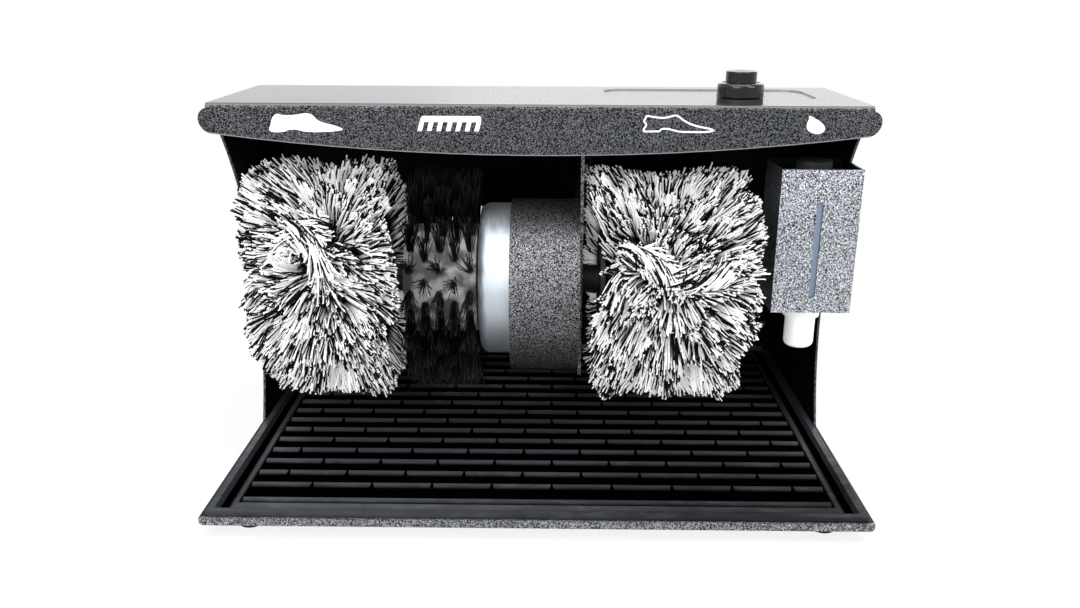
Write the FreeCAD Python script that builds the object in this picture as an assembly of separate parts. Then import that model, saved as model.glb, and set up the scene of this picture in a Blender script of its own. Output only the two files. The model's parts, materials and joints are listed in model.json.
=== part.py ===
import FreeCAD, Part
import math
import os

# Electric shoe shine machine for a table top or hotel corridor. All sizes are in millimetres.
# X runs to the viewer's right, Y away from the viewer and Z up. The floor under the feet is
# at zero height, and the origin lies under the middle of the base.

V = FreeCAD.Vector
X_AXIS = V(1, 0, 0)
Y_AXIS = V(0, 1, 0)
Z_AXIS = V(0, 0, 1)

# Overall sizes
base_width = 400.0
base_depth = 296.0
hood_height = 247.0
sheet = 1.5                  # painted steel of the housing
foot_height = 9.0
overrun = 1.0                # how far a cutter runs past what it cuts
running_fit = 0.05           # radial clearance of pieces that slide or turn in each other
seat_gap = 0.02              # radial clearance of pieces that are pushed onto each other
cover_gap = 0.3              # clearance beside a cover or a loose panel

# Tray and mat
tray_rim_height = 5.0
tray_rear_rim_height = 12.0
tray_corner_radius = 2.5
mat_gap = 0.7
mat_base = 1.0
mat_lip_height = 3.4         # how far the mat's lip stands above the tray's rim
mat_lip_width = 4.0
mat_lip_slope = 1.2
mat_groove_width = 2.4
mat_band_width = 7.0
mat_band_height = 3.4
mat_band_edge = 0.6
mat_ridge_gap = 1.2          # between the inner band and the ends of the ridges
ridge_height = 2.6
ridge_depth = 6.2
ridge_crest = 0.8
ridge_first = 22.0           # centre of the unbroken front ridge, from the tray's front
ridge_second = 41.0
ridge_pitch = 16.0
bricks_per_row = 9.5
brick_notch = 4.4
brick_slit = 0.9

# Side panels
arc_foot_setback = 133.0     # front edge of a side panel, from the front of the base
arc_waist_setback = 149.0
arc_waist_height = 99.0
flange_width = 14.0

# Hood
hood_setback = 82.0
hood_flat_depth = 111.0
hood_front_bend = 3.0
hood_rear_bend = 45.0
apron_length = 26.0
fascia_centre_drop = 30.6
fascia_flare = 5.0
fascia_flare_drop = 9.5
fascia_corner_radius = 9.0
hem_depth = 3.5
recess_left_gap = 15.0       # from the motor bracket to the recess
recess_right_inset = 23.0
recess_front_setback = 116.0
recess_length = 64.0
recess_depth = 0.9
recess_radius = 14.0

# Back
heel_height = 45.0
vent_count = 9
vent_pitch = 12.0
vent_width = 4.0
vent_length = 46.0
vent_start = 52.0            # up the slope from the heel
vent_bracket_gap = 14.0      # from the motor bracket to the nearest vent

# Screws, nuts and studs
screw_radius = 2.0           # M4
screw_head_radius = 3.8
screw_head_height = 2.6
screw_slot_width = 0.9
screw_slot_depth = 1.1
nut_flats = 7.0
nut_height = 3.2
hole_gap = 0.25              # radial clearance of a screw hole
thread_gap = 0.04
thread_length = 8.0
sunk_head_radius = 4.0
sunk_head_depth = 1.9

# Feet
foot_radius = 8.8
foot_tip_radius = 7.6
foot_inset_x = 25.0
foot_inset_front = 20.0
foot_inset_back = 26.0
foot_cavity_depth = 4.0
foot_cavity_gap = 0.6

# Drive line, along X
axis_setback = 122.0         # shaft axis from the front of the base
shaft_radius = 6.0
shaft_shoulder_radius = 7.6
bracket_x = 26.0             # left face of the motor bracket
bracket_sheet = 2.0
bracket_front_setback = 86.0
bracket_foot_drop = 55.5      # from the shaft axis down to the bracket's lower edge
bracket_rear_margin = 9.7     # of the plate, below its rear flange
bracket_flange = 11.0
bracket_flange_start = 12.0
bracket_flange_end = 16.0
bracket_rear_length = 68.0
bracket_rear_top_gap = 28.6  # from the rear flange to the top of the slope

# Motor
motor_radius = 50.4
motor_wall = 4.0
bell_length = 24.0
core_length = 24.0
bell_fillet = 6.0
bearing_outer_radius = 16.0
bearing_width = 10.0
race_thickness = 2.4
ball_radius = 2.5
ball_count = 8
boss_radius = 20.0
boss_hole_radius = 9.5
rotor_radius = 28.0
air_gap = 0.3
winding_inner_radius = 29.5
winding_outer_radius = 36.5
winding_length = 9.0
rotor_ring_length = 4.0
rotor_ring_radius = 25.0
motor_bolt_circle = 40.5
motor_bolt_count = 4
plate_screw_circle = 40.5
cowl_radius = 57.4
cowl_drop = 4.4              # the cowl hangs this far below the motor's own axis
cowl_length = 44.0
cowl_bore_gap = 0.5
cowl_screw_angle = 30.0
cowl_screw_radius = 1.5
cowl_screw_head_radius = 3.0
cowl_screw_head_depth = 1.5
cowl_screw_length = 6.5
cowl_nut_flats = 5.5
cowl_nut_height = 2.4

# Brushes
brush_drop = 39.5            # from the hood's top down to the cotton
brush_rise = 47.5            # from the floor up to the cotton
left_pile_wall_gap = 12.5
left_pile_gap = 0.5          # to the bristle brush
left_hub_outer_inset = 21.0  # from the cotton's end to the hub's end
left_hub_inner_inset = 15.0
right_pile_gap = 1.5         # to the motor bracket
right_pile_dispenser_gap = 9.5
right_hub_inner_inset = 10.5
right_hub_outer_inset = 21.0
cotton_round = 16.0
cotton_neck_radius = 46.0
hub_sleeve_radius = 16.0
hub_flange_radius = 30.0
hub_flange_thickness = 3.0
bristle_motor_gap = 2.0
bristle_hub_length = 46.5
bristle_hub_radius = 36.0
bristle_shortfall = 5.4      # how much smaller the bristle brush is than the cotton ones
tuft_columns = 5
tuft_rows = 16
tuft_root = 1.9
tuft_tip = 4.6
tuft_margin = 3.9
spacer_radius = 9.0
end_washer_radius = 12.0
end_washer_thickness = 1.5
end_nut_flats = 19.0
end_nut_height = 8.0
shaft_overhang = 3.5

# Push switch on the hood
switch_offset = 13.0         # to the right of the recess's middle
switch_setback = 101.8
switch_gasket_radius = 14.0
switch_gasket_height = 2.6
switch_flange_radius = 15.2
switch_flange_height = 1.3
switch_body_radius = 14.1
switch_body_height = 8.0
switch_shoulder = 2.6
switch_collar_radius = 11.0
switch_collar_sink = 1.6
switch_cap_radius = 9.4
switch_cap_rise = 6.8        # above the switch body
switch_cap_skirt = 4.5       # inside the switch body
switch_cap_bore = 4.6
switch_cap_roof = 3.0
switch_slot_length = 5.4
switch_slot_width = 1.6
switch_slot_depth = 0.8
switch_travel = 3.0
switch_neck_radius = 8.0
switch_neck_bore = 5.0
switch_neck_length = 9.0
switch_nut_flats = 22.0
switch_nut_height = 3.0
switch_block_width = 24.0
switch_block_height = 12.0
switch_tab_width = 4.8
switch_tab_thickness = 0.8
switch_tab_length = 6.0
switch_tab_spread = 7.0
spring_wire = 0.7
switch_spring_radius = 3.6
switch_spring_turns = 7

# Cream dispenser
dispenser_width = 50.0
dispenser_depth = 44.0
dispenser_setback = 84.0
dispenser_drop = 130.2       # from the hood's top down to the dispenser's bottom
dispenser_height = 91.7
dispenser_sheet = 1.2
sight_width = 4.0
sight_length = 62.0
sight_start = 9.8            # above the bottom of the housing
bottle_gap = 0.8
bottle_wall = 1.6
bottle_height = 84.0
bottle_corner = 5.0
filler_radius = 11.0
filler_height = 9.0
filler_neck_radius = 8.0
filler_neck_bore = 6.4
filler_neck_height = 7.0
filler_roof = 2.0
filler_grooves = 24
filler_groove_radius = 0.7
tab_waist_reach = 27.0       # how far the fixing tab runs back past the side panel's waist
tab_bottom = 16.0            # above the bottom of the housing
tab_height = 58.0
tab_screw_inset = 12.0
collar_radius = 11.9
collar_neck_radius = 9.0
collar_neck_height = 6.4
collar_web = 1.6
nozzle_radius = 9.7
nozzle_length = 24.2
nozzle_overlap = 2.6         # how far the nozzle reaches up into the collar at rest
nozzle_round = 3.6
nozzle_bore_radius = 7.6
nozzle_bore_depth = 12.0
nozzle_mouth_radius = 2.2
nozzle_travel = 3.6
nozzle_stop_gap = 0.3
stem_radius = 2.6
valve_disc_radius = 5.2
valve_disc_height = 1.8
valve_gap = 0.15
nozzle_spring_radius = 5.4
nozzle_spring_turns = 5

# Electrical parts
capacitor_radius = 15.0
capacitor_length = 54.0
capacitor_gap = 10.0         # from the brushes and the motor cowl to the capacitor
capacitor_rise = 12.5        # above the shaft axis
capacitor_stud_radius = 4.0
capacitor_stud_length = 10.0
capacitor_nut_flats = 13.0
capacitor_nut_height = 5.0
box_gap = 24.0               # from the motor bracket to the electrics cover
box_length = 92.0
box_top_gap = 34.6           # from the cover to the top of the slope
box_depth = 34.0
box_lip = 8.0
box_screw_inset = 12.0
board_side_gap = 12.0        # from the cover's side to the timer board
board_length = 42.0
board_thickness = 1.6
board_rise = 42.0            # up the slope from the cover's lower end
spacer_height = 6.0
spacer_outer_radius = 3.0
spacer_inset = 4.5
relay_width = 19.0
relay_length = 15.0
relay_height = 15.0
fuse_radius = 2.8
fuse_length = 22.0
terminal_width = 46.0
terminal_length = 16.0
terminal_height = 13.0
terminal_ways = 5
terminal_rise = 12.0         # up the slope from the cover's lower end
terminal_hole_radius = 1.8
gland_height = 36.0
gland_bore_radius = 3.6
gland_thread_radius = 7.8
gland_thread_length = 9.0
gland_flats = 19.0
gland_hex_height = 6.0
gland_dome_radius = 8.4
gland_dome_length = 9.0
gland_mouth = 1.4
gland_nut_flats = 20.0
gland_nut_height = 4.0

# Values worked out from the sizes above
half_width = base_width / 2
gland_reach = gland_hex_height + gland_dome_length - sheet
front_y = -(base_depth + gland_reach) / 2
back_y = front_y + base_depth
floor_z = foot_height + sheet
rim_z = foot_height + tray_rim_height
fascia_y = front_y + hood_setback
flat_back_y = fascia_y + hood_flat_depth
inner_x = half_width - sheet
axis_y = front_y + axis_setback
heel_top_z = foot_height + heel_height
bend_centre_z = hood_height - hood_rear_bend
bracket_right_x = bracket_x + bracket_sheet
cotton_radius = (hood_height - brush_drop - brush_rise) / 2
axis_height = brush_rise + cotton_radius
bracket_foot_height = axis_height - bracket_foot_drop
plate_length = bell_length - motor_wall * 2
core_end = bracket_x - plate_length
core_start = core_end - core_length
bell_start = core_start - bell_length

bristle_tip_radius = cotton_radius - bristle_shortfall
bristle_hub_end = bell_start - bristle_motor_gap
bristle_hub_start = bristle_hub_end - bristle_hub_length
left_pile_start = -inner_x + left_pile_wall_gap
left_pile_end = bristle_hub_start - left_pile_gap
left_hub_start = left_pile_start + left_hub_outer_inset
left_hub_end = left_pile_end - left_hub_inner_inset

dispenser_right = inner_x
dispenser_left = dispenser_right - dispenser_width
dispenser_front = front_y + dispenser_setback
dispenser_back = dispenser_front + dispenser_depth
dispenser_bottom = hood_height - dispenser_drop
dispenser_top = dispenser_bottom + dispenser_height
tab_reach = arc_waist_setback + tab_waist_reach - dispenser_setback - dispenser_depth
collar_height = nozzle_overlap + nozzle_travel + nozzle_stop_gap + collar_web
valve_x = (dispenser_left + dispenser_right) / 2
valve_y = (dispenser_front + dispenser_back) / 2
right_pile_start = bracket_right_x + right_pile_gap
right_pile_end = dispenser_left - right_pile_dispenser_gap
right_hub_start = right_pile_start + right_hub_inner_inset
right_hub_end = right_pile_end - right_hub_outer_inset

recess_left = bracket_right_x + recess_left_gap
recess_right = half_width - recess_right_inset
recess_x = (recess_left + recess_right) / 2
recess_width = recess_right - recess_left
switch_x = recess_x + switch_offset

heel_to_bend = math.hypot(flat_back_y - back_y, bend_centre_z - heel_top_z)
bend_direction = math.atan2(bend_centre_z - heel_top_z, flat_back_y - back_y)
lean = bend_direction - math.asin(hood_rear_bend / heel_to_bend) - math.pi / 2
slope_length = math.sqrt(heel_to_bend ** 2 - hood_rear_bend ** 2)
bracket_rear_end = slope_length - bracket_rear_top_gap
bracket_rear_start = bracket_rear_end - bracket_rear_length
box_width = (inner_x - bracket_right_x) / 2
box_x = bracket_right_x + box_gap + box_width / 2
box_start = slope_length - box_top_gap - box_length
board_width = box_width - board_side_gap * 2
board_start = box_start + board_rise
terminal_start = box_start + terminal_rise
gland_x = box_x
slope_place = FreeCAD.Placement(V(0, back_y, heel_top_z), FreeCAD.Rotation(X_AXIS, math.degrees(lean)))


def block(x_pair, y_pair, z_pair):
    size = [pair[1] - pair[0] for pair in (x_pair, y_pair, z_pair)]
    return Part.makeBox(size[0], size[1], size[2], V(x_pair[0], y_pair[0], z_pair[0]))


def rod(radius, start, end):
    return Part.makeCylinder(radius, (end - start).Length, start, end - start)


def tube(outer, inner, start, end):
    unit = (end - start).normalize()
    return rod(outer, start, end).cut(rod(inner, start - unit * overrun, end + unit * overrun))


def hexagon(flats, start, end):
    turn = FreeCAD.Rotation(Z_AXIS, end - start)
    corner = flats / 2 / math.cos(math.pi / 6)
    points = []
    for k in range(7):
        angle = math.pi / 3 * k
        points.append(start + turn.multVec(V(math.cos(angle) * corner, math.sin(angle) * corner, 0)))
    return Part.Face(Part.makePolygon(points)).extrude(end - start)


def nut(flats, bore, start, end):
    unit = (end - start).normalize()
    return hexagon(flats, start, end).cut(rod(bore, start - unit * overrun, end + unit * overrun))


def pan_screw(seat, direction, length, radius=screw_radius, head=screw_head_radius, rise=screw_head_height):
    # seat is the point where the underside of the head rests, direction points along the shank
    unit = V(direction).normalize()
    body = rod(head, seat - unit * rise, seat).fuse(rod(radius, seat, seat + unit * length))
    slot = block((-head, head), (-screw_slot_width / 2, screw_slot_width / 2), (-screw_slot_depth, overrun))
    slot.Placement = FreeCAD.Placement(seat - unit * rise, FreeCAD.Rotation(Z_AXIS, V(0, 0, 0) - unit))
    return body.cut(slot)


def sunk_screw(face, direction, length, radius=screw_radius, head=sunk_head_radius, depth=sunk_head_depth):
    # face is the point on the surface that the head lies flush with
    unit = V(direction).normalize()
    cone = Part.makeCone(head, radius, depth, face, unit)
    return cone.fuse(rod(radius, face, face + unit * length))


def sunk_hole(face, direction, length, radius=screw_radius, head=sunk_head_radius, depth=sunk_head_depth):
    unit = V(direction).normalize()
    cone = Part.makeCone(head + hole_gap / 2, radius + hole_gap / 2, depth, face, unit)
    top = rod(head + hole_gap / 2, face - unit * overrun, face)
    return cone.fuse([top, rod(radius + hole_gap, face, face + unit * length)])


def add_nut(seat, towards_seat, turn=None):
    # an M4 nut whose face lies on the seat
    shape = nut(nut_flats, screw_radius + thread_gap, seat - towards_seat * nut_height, seat)
    m4_nuts.append(turn(shape) if turn else shape)


def on_slope(shape):
    # local Y points out of the slope and local Z runs up it, from the edge of the heel
    moved = shape.copy()
    moved.Placement = slope_place.multiply(shape.Placement)
    return moved


def slope_point(x, out, up):
    return slope_place.multVec(V(x, out, up))


def heel_top(inset):
    along = inset * math.tan(lean / 2)
    return slope_point(0, -inset, along)


def slope_end(inset, back_off=0):
    return slope_point(0, -inset, slope_length - back_off)


def bend_point(inset, share):
    angle = lean + (math.pi / 2 - lean) * share
    reach = hood_rear_bend - inset
    return V(0, flat_back_y + math.cos(angle) * reach, bend_centre_z + math.sin(angle) * reach)


def bend_arc(inset, upwards=True):
    ends = (0, 1) if upwards else (1, 0)
    half = 0.5
    points = [bend_point(inset, ends[0]), bend_point(inset, half), bend_point(inset, ends[1])]
    return Part.Arc(points[0], points[1], points[2]).toShape()


def line(a, b):
    return Part.LineSegment(a, b).toShape()


def sheet_from(edges, x_start, x_end):
    face = Part.Face(Part.Wire(edges))
    face.translate(V(x_start, 0, 0))
    return face.extrude(V(x_end - x_start, 0, 0))


def arc_middle(start, tangent, end):
    chord = end - start
    unit = V(chord).normalize()
    way = (tangent + unit).normalize()
    half_turn = math.acos(tangent.dot(unit)) / 2
    return start + way * (chord.Length / 2 / math.cos(half_turn))


def two_arcs(start, start_tangent, end, end_tangent):
    # two arcs that meet smoothly and leave both ends along the tangents
    chord = end - start
    tangents = start_tangent + end_tangent
    spread = 2 * (1 - start_tangent.dot(end_tangent))
    along = chord.dot(tangents)
    reach = (math.sqrt(along ** 2 + spread * chord.dot(chord)) - along) / spread
    joint = (start + end + (start_tangent - end_tangent) * reach) * (1 / 2)
    back = V(0, 0, 0) - end_tangent
    return [Part.Arc(start, arc_middle(start, start_tangent, joint), joint).toShape(),
            Part.Arc(joint, arc_middle(end, back, joint), end).toShape()]


def spring(radius, wire, turns, start_z, end_z, x, y):
    steps = turns * 2
    rise = (end_z - start_z - wire) / steps
    half_turn = math.pi * radius

    def point(step):
        side = 1 - step % 2 * 2
        return V(x + side * radius, y, start_z + wire / 2 + rise * step)

    def tangent(step):
        side = 1 - step % 2 * 2
        return V(0, side * half_turn, rise).normalize()

    edges = []
    for step in range(steps):
        edges += two_arcs(point(step), tangent(step), point(step + 1), tangent(step + 1))
    ring = Part.Wire(Part.makeCircle(wire / 2, point(0), tangent(0)))
    return Part.Wire(edges).makePipeShell([ring], True, False)


def mirrored(shape):
    return shape.mirror(V(0, 0, 0), X_AXIS)


def group(shapes):
    return Part.makeCompound(shapes)


parts = {}
m4_nuts = []
panel_screws = []


# Tray, feet and rubber mat

def foot_points():
    xs = (-half_width + foot_inset_x, half_width - foot_inset_x)
    ys = (front_y + foot_inset_front, back_y - foot_inset_back)
    return [(x, y) for y in ys for x in xs]


def make_tray():
    floor_end = back_y - sheet * 2
    side_start = front_y + sheet
    shape = block((-inner_x, inner_x), (side_start, floor_end), (foot_height, floor_z))
    lip = block((-half_width, half_width), (front_y, side_start), (foot_height, rim_z))
    low_ends = [e for e in lip.Edges if abs(e.tangentAt(e.FirstParameter).y) > 1 / 2
                and e.CenterOfMass.z < rim_z - tray_rim_height / 2]
    lip = lip.makeFillet(tray_corner_radius, low_ends)
    side = block((inner_x - sheet, inner_x), (side_start, floor_end), (foot_height, rim_z))
    rear_top = foot_height + tray_rear_rim_height
    rear = block((-inner_x, inner_x), (floor_end - sheet, floor_end), (foot_height, rear_top))
    shape = shape.fuse([lip, side, mirrored(side), rear])
    holes = [sunk_hole(V(x, y, floor_z), V(0, 0, -1), sheet * 2) for x, y in foot_points()]
    return shape.cut(holes).removeSplitter()


def make_feet():
    feet, screws = [], []
    cavity_radius = nut_flats / 2 / math.cos(math.pi / 6) + foot_cavity_gap
    for x, y in foot_points():
        foot = Part.makeCone(foot_tip_radius, foot_radius, foot_height, V(x, y, 0), Z_AXIS)
        hollow = rod(cavity_radius, V(x, y, -overrun), V(x, y, foot_cavity_depth))
        hole = sunk_hole(V(x, y, floor_z), V(0, 0, -1), foot_height + sheet)
        feet.append(foot.cut([hollow, hole]))
        shank = floor_z - foot_cavity_depth + nut_height
        screws.append(sunk_screw(V(x, y, floor_z), V(0, 0, -1), shank))
        top = V(x, y, foot_cavity_depth)
        add_nut(top, Z_AXIS)
    return group(feet), group(screws)


def rectangle(inset_x, inset_front, inset_back, z):
    left = -(inner_x - sheet - mat_gap - inset_x)
    near = front_y + sheet + mat_gap + inset_front
    far = back_y - sheet * 3 - mat_gap - inset_back
    corners = [V(left, near, z), V(-left, near, z), V(-left, far, z), V(left, far, z)]
    return Part.makePolygon(corners + corners[:1])


def frustum(low_inset, low_z, high_inset, high_z):
    low = rectangle(low_inset, low_inset, low_inset, low_z)
    high = rectangle(high_inset, high_inset, high_inset, high_z)
    return Part.makeLoft([low, high], True, True)


def prism(inset, low_z, high_z):
    face = Part.Face(rectangle(inset, inset, inset, low_z))
    return face.extrude(V(0, 0, high_z - low_z))


def make_mat():
    base_z = floor_z + mat_base
    lip_z = rim_z + mat_lip_height
    band_z = base_z + mat_band_height
    groove_start = mat_lip_width + mat_lip_slope
    groove_end = groove_start + mat_groove_width
    band_end = groove_end + mat_band_width
    base = prism(0, floor_z, base_z)
    lip = prism(0, base_z, lip_z).cut(frustum(groove_start, base_z, mat_lip_width, lip_z))
    band = frustum(groove_end, base_z, band_end - mat_band_edge, band_z)
    band = band.cut(prism(band_end, base_z, band_z))
    reach = inner_x - sheet - mat_gap - band_end - mat_ridge_gap
    far_y = back_y - sheet * 3 - mat_gap - band_end
    rows = [front_y + ridge_first]
    place = front_y + ridge_second
    while place + ridge_depth / 2 < far_y - mat_ridge_gap:
        rows.append(place)
        place = place + ridge_pitch
    brick_length = reach * 2 / bricks_per_row
    ridges, notches = [], []
    for index, row in enumerate(rows):
        near, far = row - ridge_depth / 2, row + ridge_depth / 2
        outline = [V(0, near, base_z), V(0, far, base_z), V(0, far, base_z + ridge_height),
                   V(0, far - ridge_crest, base_z + ridge_height)]
        face = Part.Face(Part.makePolygon(outline + outline[:1]))
        face.translate(V(-reach, 0, 0))
        ridges.append(face.extrude(V(reach * 2, 0, 0)))
        if index == 0:
            continue
        # every second row starts with half a brick
        x = brick_length - brick_length / 2 * (1 - index % 2) - reach
        while x < reach - brick_notch:
            notches.append(notch(x, near, far, base_z))
            x = x + brick_length
    ridges = group(ridges).cut(group(notches))
    return base.fuse([lip, band] + ridges.Solids).removeSplitter()


def notch(x, near, far, base_z):
    # a gap between two bricks of a ridge, wide at its foot and narrow at its crest
    low, high = near - overrun, far + overrun
    corners = [V(x - brick_notch / 2, low, base_z), V(x + brick_notch / 2, low, base_z),
               V(x + brick_slit / 2, high, base_z), V(x - brick_slit / 2, high, base_z)]
    return Part.Face(Part.makePolygon(corners + corners[:1])).extrude(V(0, 0, ridge_height + overrun))


parts["base_tray"] = make_tray()
parts["rubber_feet"], parts["foot_screws"] = make_feet()
parts["rubber_mat"] = make_mat()


# Side panels

arc_top = V(0, fascia_y + sheet + overrun, hood_height - sheet)


def tab_screw_points():
    y = front_y + dispenser_setback + dispenser_depth + tab_reach - tab_screw_inset
    low = dispenser_bottom + tab_bottom + tab_screw_inset
    high = dispenser_bottom + tab_bottom + tab_height - tab_screw_inset
    return [V(inner_x, y, low), V(inner_x, y, high)]


def hood_stud_points():
    x = inner_x - flange_width / 2
    ys = (fascia_y + hood_flat_depth / 5, flat_back_y - hood_flat_depth / 5)
    return [V(side * x, y, hood_height - sheet) for side in (-1, 1) for y in ys]


def edge_screw_heights():
    # places up the slope of the screws that hold the back panel to the flanges
    return (slope_length / 8, slope_length * 3 / 5)


def apron_screw_height():
    return slope_length - apron_length / 2


def heel_screw_z():
    return foot_height + tray_rear_rim_height + (heel_height - tray_rear_rim_height) / 2


def make_side(sign):
    foot = V(0, front_y + arc_foot_setback, rim_z)
    waist = V(0, front_y + arc_waist_setback, arc_waist_height)
    low_front = V(0, front_y + sheet, foot_height)
    rim_front = V(0, front_y + sheet, rim_z)
    heel_foot = V(0, back_y - sheet, foot_height)
    edges = [line(low_front, rim_front), line(rim_front, foot), Part.Arc(foot, waist, arc_top).toShape(),
             line(arc_top, bend_point(sheet, 1)), bend_arc(sheet, False),
             line(slope_end(sheet), heel_top(sheet)), line(heel_top(sheet), heel_foot),
             line(heel_foot, low_front)]
    web = sheet_from(edges, inner_x, half_width)
    flange_start = inner_x - flange_width
    top = block((flange_start, inner_x), (arc_top.y + overrun, flat_back_y),
                (hood_height - sheet * 2, hood_height - sheet))
    flange_foot = foot_height + tray_rear_rim_height + overrun
    rear_edges = [V(0, back_y - sheet * 2, flange_foot), heel_top(sheet * 2), slope_end(sheet * 2),
                  slope_end(sheet * 3), heel_top(sheet * 3), V(0, back_y - sheet * 3, flange_foot)]
    rear = Part.Face(Part.makePolygon(rear_edges + rear_edges[:1]))
    rear.translate(V(flange_start, 0, 0))
    rear = rear.extrude(V(flange_width, 0, 0))
    shape = web.fuse([top, rear])
    holes = flange_holes()
    holes += [rod(screw_radius + hole_gap, V(abs(p.x), p.y, p.z - sheet * 3), V(abs(p.x), p.y, p.z + sheet))
              for p in hood_stud_points()]
    if sign > 0:
        holes += [rod(screw_radius + hole_gap, p - X_AXIS * sheet, p + X_AXIS * sheet * 3)
                  for p in tab_screw_points()]
    shape = shape.cut(holes).removeSplitter()
    return shape if sign > 0 else mirrored(shape)


def flange_holes():
    x = inner_x - flange_width / 2
    holes = []
    for up in edge_screw_heights() + (apron_screw_height(),):
        holes.append(on_slope(rod(screw_radius + hole_gap, V(x, -sheet * 6, up), V(x, sheet, up))))
    z = heel_screw_z()
    holes.append(rod(screw_radius + hole_gap, V(x, back_y - sheet * 6, z), V(x, back_y + sheet, z)))
    return holes


parts["left_side_panel"] = make_side(-1)
parts["right_side_panel"] = make_side(1)


# Top hood with its curved fascia

def fascia_outline(z_shift, y):
    # the lower edge of the fascia, from its left corner to its right one
    corner_x = half_width + fascia_flare - fascia_corner_radius
    corner_z = hood_height - fascia_flare_drop - fascia_corner_radius + z_shift
    middle = V(0, y, hood_height - fascia_centre_drop + z_shift)
    return V(-corner_x, y, corner_z), middle, V(corner_x, y, corner_z)


def make_hood():
    top_front = fascia_y + hood_front_bend
    end_out, end_in = slope_end(0, apron_length), slope_end(sheet, apron_length)
    edges = [line(V(0, top_front, hood_height), bend_point(0, 1)), bend_arc(0, False),
             line(slope_end(0), end_out), line(end_out, end_in), line(end_in, slope_end(sheet)),
             bend_arc(sheet), line(bend_point(sheet, 1), V(0, top_front, hood_height - sheet)),
             line(V(0, top_front, hood_height - sheet), V(0, top_front, hood_height))]
    top = sheet_from(edges, -half_width, half_width)
    centre = V(0, top_front, hood_height - hood_front_bend)
    bend = rod(hood_front_bend, centre - X_AXIS * half_width, centre + X_AXIS * half_width)
    bend = bend.cut(rod(hood_front_bend - sheet, centre - X_AXIS * base_width, centre + X_AXIS * base_width))
    bend = bend.common(block((-half_width, half_width), (fascia_y, top_front), (centre.z, hood_height)))
    left, middle, right = fascia_outline(0, fascia_y)
    flare_x = half_width + fascia_flare
    flare_z = hood_height - fascia_flare_drop
    turn = fascia_corner_radius * math.sqrt(1 / 2)
    elbow = V(right.x + turn, fascia_y, flare_z - turn)
    upper = V(half_width, fascia_y, centre.z)
    side = V(flare_x, fascia_y, flare_z)
    rise = centre.z - flare_z
    shoulder = (fascia_flare ** 2 + rise ** 2) / fascia_flare / 2
    half_turn = math.asin(rise / shoulder) / 2
    swell = V(flare_x - shoulder + shoulder * math.cos(half_turn), fascia_y,
              flare_z + shoulder * math.sin(half_turn))
    flip = FreeCAD.Matrix(-1, 0, 0, 0, 0, 1, 0, 0, 0, 0, 1, 0)
    outline = [line(flip * upper, upper), Part.Arc(upper, swell, side).toShape(),
               Part.Arc(side, elbow, right).toShape(), Part.Arc(right, middle, left).toShape(),
               Part.Arc(left, flip * elbow, flip * side).toShape(),
               Part.Arc(flip * side, flip * swell, flip * upper).toShape()]
    fascia = Part.Face(Part.Wire(outline)).extrude(V(0, sheet, 0))
    high_left, high_middle, high_right = fascia_outline(sheet, fascia_y)
    strip = [Part.Arc(left, middle, right).toShape(), line(right, high_right),
             Part.Arc(high_right, high_middle, high_left).toShape(), line(high_left, left)]
    hem = Part.Face(Part.Wire(strip)).extrude(V(0, hem_depth, 0))
    shape = top.fuse([bend, fascia, hem])
    recess_pair = (recess_x - recess_width / 2, recess_x + recess_width / 2)
    recess_start = front_y + recess_front_setback
    pocket = rounded_block(recess_pair, (recess_start, recess_start + recess_length),
                           (hood_height - recess_depth, hood_height + overrun), recess_radius)
    pad = rounded_block((recess_pair[0] - sheet, recess_pair[1] + sheet),
                        (recess_start - sheet, recess_start + recess_length + sheet),
                        (hood_height - sheet - recess_depth, hood_height - sheet), recess_radius + sheet)
    shape = shape.fuse(pad).cut(pocket)
    switch_hole = rod(switch_neck_radius + hole_gap, V(switch_x, switch_y, hood_height - sheet * 2),
                      V(switch_x, switch_y, hood_height + overrun))
    holes = [switch_hole]
    for x in apron_screw_places():
        up = apron_screw_height()
        holes.append(on_slope(rod(screw_radius + hole_gap, V(x, -sheet * 3, up), V(x, overrun, up))))
    return shape.cut(holes).removeSplitter()


def rounded_block(x_pair, y_pair, z_pair, radius):
    shape = block(x_pair, y_pair, z_pair)
    upright = [e for e in shape.Edges if abs(e.tangentAt(e.FirstParameter).z) > 1 / 2]
    return shape.makeFillet(radius, upright)


def apron_screw_places():
    x = inner_x - flange_width / 2
    return (-x, 0, x)


switch_y = front_y + switch_setback
parts["top_hood"] = make_hood()


# Back panel

def bracket_flange_points():
    x = bracket_right_x + bracket_flange * 3 / 5
    margin = bracket_flange / 2
    return [(x, bracket_rear_start + margin), (x, bracket_rear_end - margin)]


def box_screw_points():
    ups = (box_start + box_screw_inset, box_start + box_length - box_screw_inset)
    return [(box_x + side * (box_width / 2 + box_lip / 2), up) for side in (-1, 1) for up in ups]


def terminal_screw_points():
    reach = terminal_width / 2 - terminal_length / 4
    return [(box_x + side * reach, terminal_start + terminal_length / 2) for side in (-1, 1)]


def board_screw_points():
    reach = board_width / 2 - spacer_inset
    return [(box_x + side * reach, board_start + up)
            for side in (-1, 1) for up in (spacer_inset, board_length - spacer_inset)]


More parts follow.
